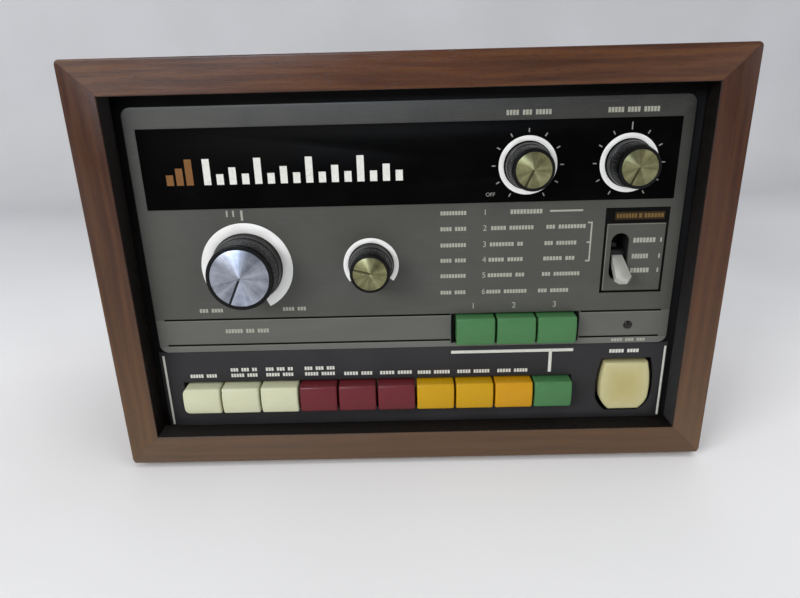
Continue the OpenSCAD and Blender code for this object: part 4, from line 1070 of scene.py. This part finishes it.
socket_black = skinned("socket_black", paint(24, 24, 24), 0.42, grain=0.3, patch=0.3)
brass = plated("contact_brass", paint(200, 172, 104), 0.3)
eased("jacks", 0.3, socket_black)
eased("jack_nuts", 0.3, nut_plate)
eased("mains_inlet", 0.5, socket_black, segments=3)
eased("inlet_pins", 0.2, brass)
eased("fuse_holder", 0.4, socket_black, segments=3)


# ---- Transformer and main board ----
# A laminated core with a copper winding under varnished tape, and a brown phenolic board on brass
# standoffs, with five chips and six sleeved capacitors.

def laminations():
    made, where = new_material("laminations", Metallic=0.7, Specular_IOR_Level=0.4)
    sheets = calc("FRACT", scaled(axis(where, "Y"), 2.0))
    gap = ramp(sheets, (0.0, 0.0), (0.2, 1.0))
    rust = noise(where, 0.4, 4, 0.6)
    tint = ramp(rust, (0.4, paint(104, 104, 100)), (0.7, paint(96, 78, 62)))
    return dressed(made, blend(gap, paint(50, 48, 46), tint), scaled(rust, 0.3, 0.35), gap, 0.5, 0.0001)


def winding():
    made, where = new_material("winding", Metallic=0.6)
    turns = calc("SINE", scaled(axis(where, "Z"), 9.0))
    tape = noise(where, 0.3, 3, 0.5)
    return dressed(made, ramp(tape, (0.4, paint(176, 112, 58)), (0.7, paint(142, 86, 44))),
                   scaled(tape, 0.2, 0.3), scaled(turns, 0.5, 0.5), 0.6, 0.00015)


eased("transformer_core", 0.3, laminations())
eased("transformer_coil", 0.8, winding(), segments=3)
eased("main_board", 0.15, laminate("board_brown", paint(118, 92, 44), paint(142, 114, 60), 0.4))
eased("standoffs", 0.2, brass)
eased("chips", 0.25, skinned("chip_black", paint(26, 26, 27), 0.5, grain=0.5))
eased("capacitors", 0.5, skinned("capacitor_blue", paint(44, 80, 122), 0.35, coat=0.2), segments=3)


# ---- Floor, light and camera ----
# A plain pale floor that curves up behind the machine. Soft light comes from the upper left and from
# overhead, with a weak fill from the right and a cool one that shows only as gloss on the wood.

def pale_finish():
    """Matt and pale near the machine, a little greyer where it rises behind."""
    made, where = new_material("pale_floor", Specular_IOR_Level=0.2)
    cloud = noise(where, 0.004, 3, 0.5)
    near = ramp(cloud, (0.3, paint(243, 243, 244)), (0.7, paint(249, 249, 251)))
    far = ramp(cloud, (0.3, paint(194, 195, 198)), (0.7, paint(206, 207, 211)))
    depth = scaled(axis(where, "Y"), mm)
    tint = blend(ramp(depth, (0.05, 0.0), (0.6, 1.0)), near, far)
    return dressed(made, tint, scaled(cloud, 0.1, 0.8),
                   noise(where, 1.6, 2, 0.5), 0.15, 0.0002)


floor_near, floor_back, floor_top, floor_half, bend, bend_steps = -6.0, 0.72, 1.3, 5.0, 0.16, 24
floor = bmesh.new()
side = [(floor_near, 0.0)] + [
    (floor_back - bend + bend * sin(a), bend - bend * cos(a))
    for a in (pi / 2 * i / bend_steps for i in range(bend_steps + 1))] + [(floor_back, floor_top)]
points = [floor.verts.new((-floor_half, y, z)) for y, z in side]
line = [floor.edges.new(pair) for pair in zip(points, points[1:])]
swept = bmesh.ops.extrude_edge_only(floor, edges=line)["geom"]
bmesh.ops.translate(floor, verts=[v for v in swept if isinstance(v, bmesh.types.BMVert)],
                    vec=(2 * floor_half, 0, 0))
bmesh.ops.recalc_face_normals(floor, faces=floor.faces)
floor_mesh = as_mesh(floor, "pale_floor", 60)
floor_mesh.materials.append(pale_finish())
placed("pale_floor", floor_mesh)

world = bpy.data.worlds.new("soft_room")
bpy.context.scene.world = world
world.use_nodes = True
room = world.node_tree.nodes["Background"]
room.inputs["Color"].default_value = (0.96, 0.98, 1.0, 1)
room.inputs["Strength"].default_value = 0.2

for name, place, target, size, power, colour in (
    ("window", (-1.5, -1.5, 1.0), (0, 0, 0.08), (1.2, 0.9), 32.0, (1.0, 0.99, 0.98)),
    ("ceiling", (0.3, -0.2, 1.7), (0.05, 0.05, 0.0), (1.8, 1.6), 13.0, (0.98, 0.99, 1.0)),
    ("fill", (1.4, -1.3, 0.8), (0, 0, 0.1), (1.0, 0.9), 6.5, (1.0, 0.98, 0.96)),
    ("doorway", (-0.76, -1.9, 1.0), (-0.1, 0, 0.2), (0.6, 0.5), 30.0, (0.72, 0.82, 1.0)),
):
    data = bpy.data.lights.new(name, "AREA")
    data.shape, data.size, data.size_y, data.energy, data.color = "RECTANGLE", *size, power, colour
    light = placed(name, data)
    light.location = place
    light.rotation_mode = "QUATERNION"
    light.rotation_quaternion = (Vector(target) - Vector(place)).to_track_quat("-Z", "Y")
    light.visible_diffuse = name != "doorway"

view = bpy.data.cameras.new("camera")
view.sensor_width, view.lens = 36.0, 28.671
view.clip_start, view.clip_end = 0.01, 20.0
camera = placed("camera", view)
eye = (-0.00243, -0.339927, 0.186998)
right = Vector((0.99969797, 0.00114754, -0.02454902))
up = Vector((0.02260024, 0.34947073, 0.93667467))
ahead = Vector((-0.00965404, 0.93694658, -0.34933925))
camera.matrix_world = Matrix.Translation(eye) @ Matrix((right, up, -ahead)).transposed().to_4x4()
bpy.context.scene.camera = camera
bpy.context.scene.view_settings.view_transform = "Standard"
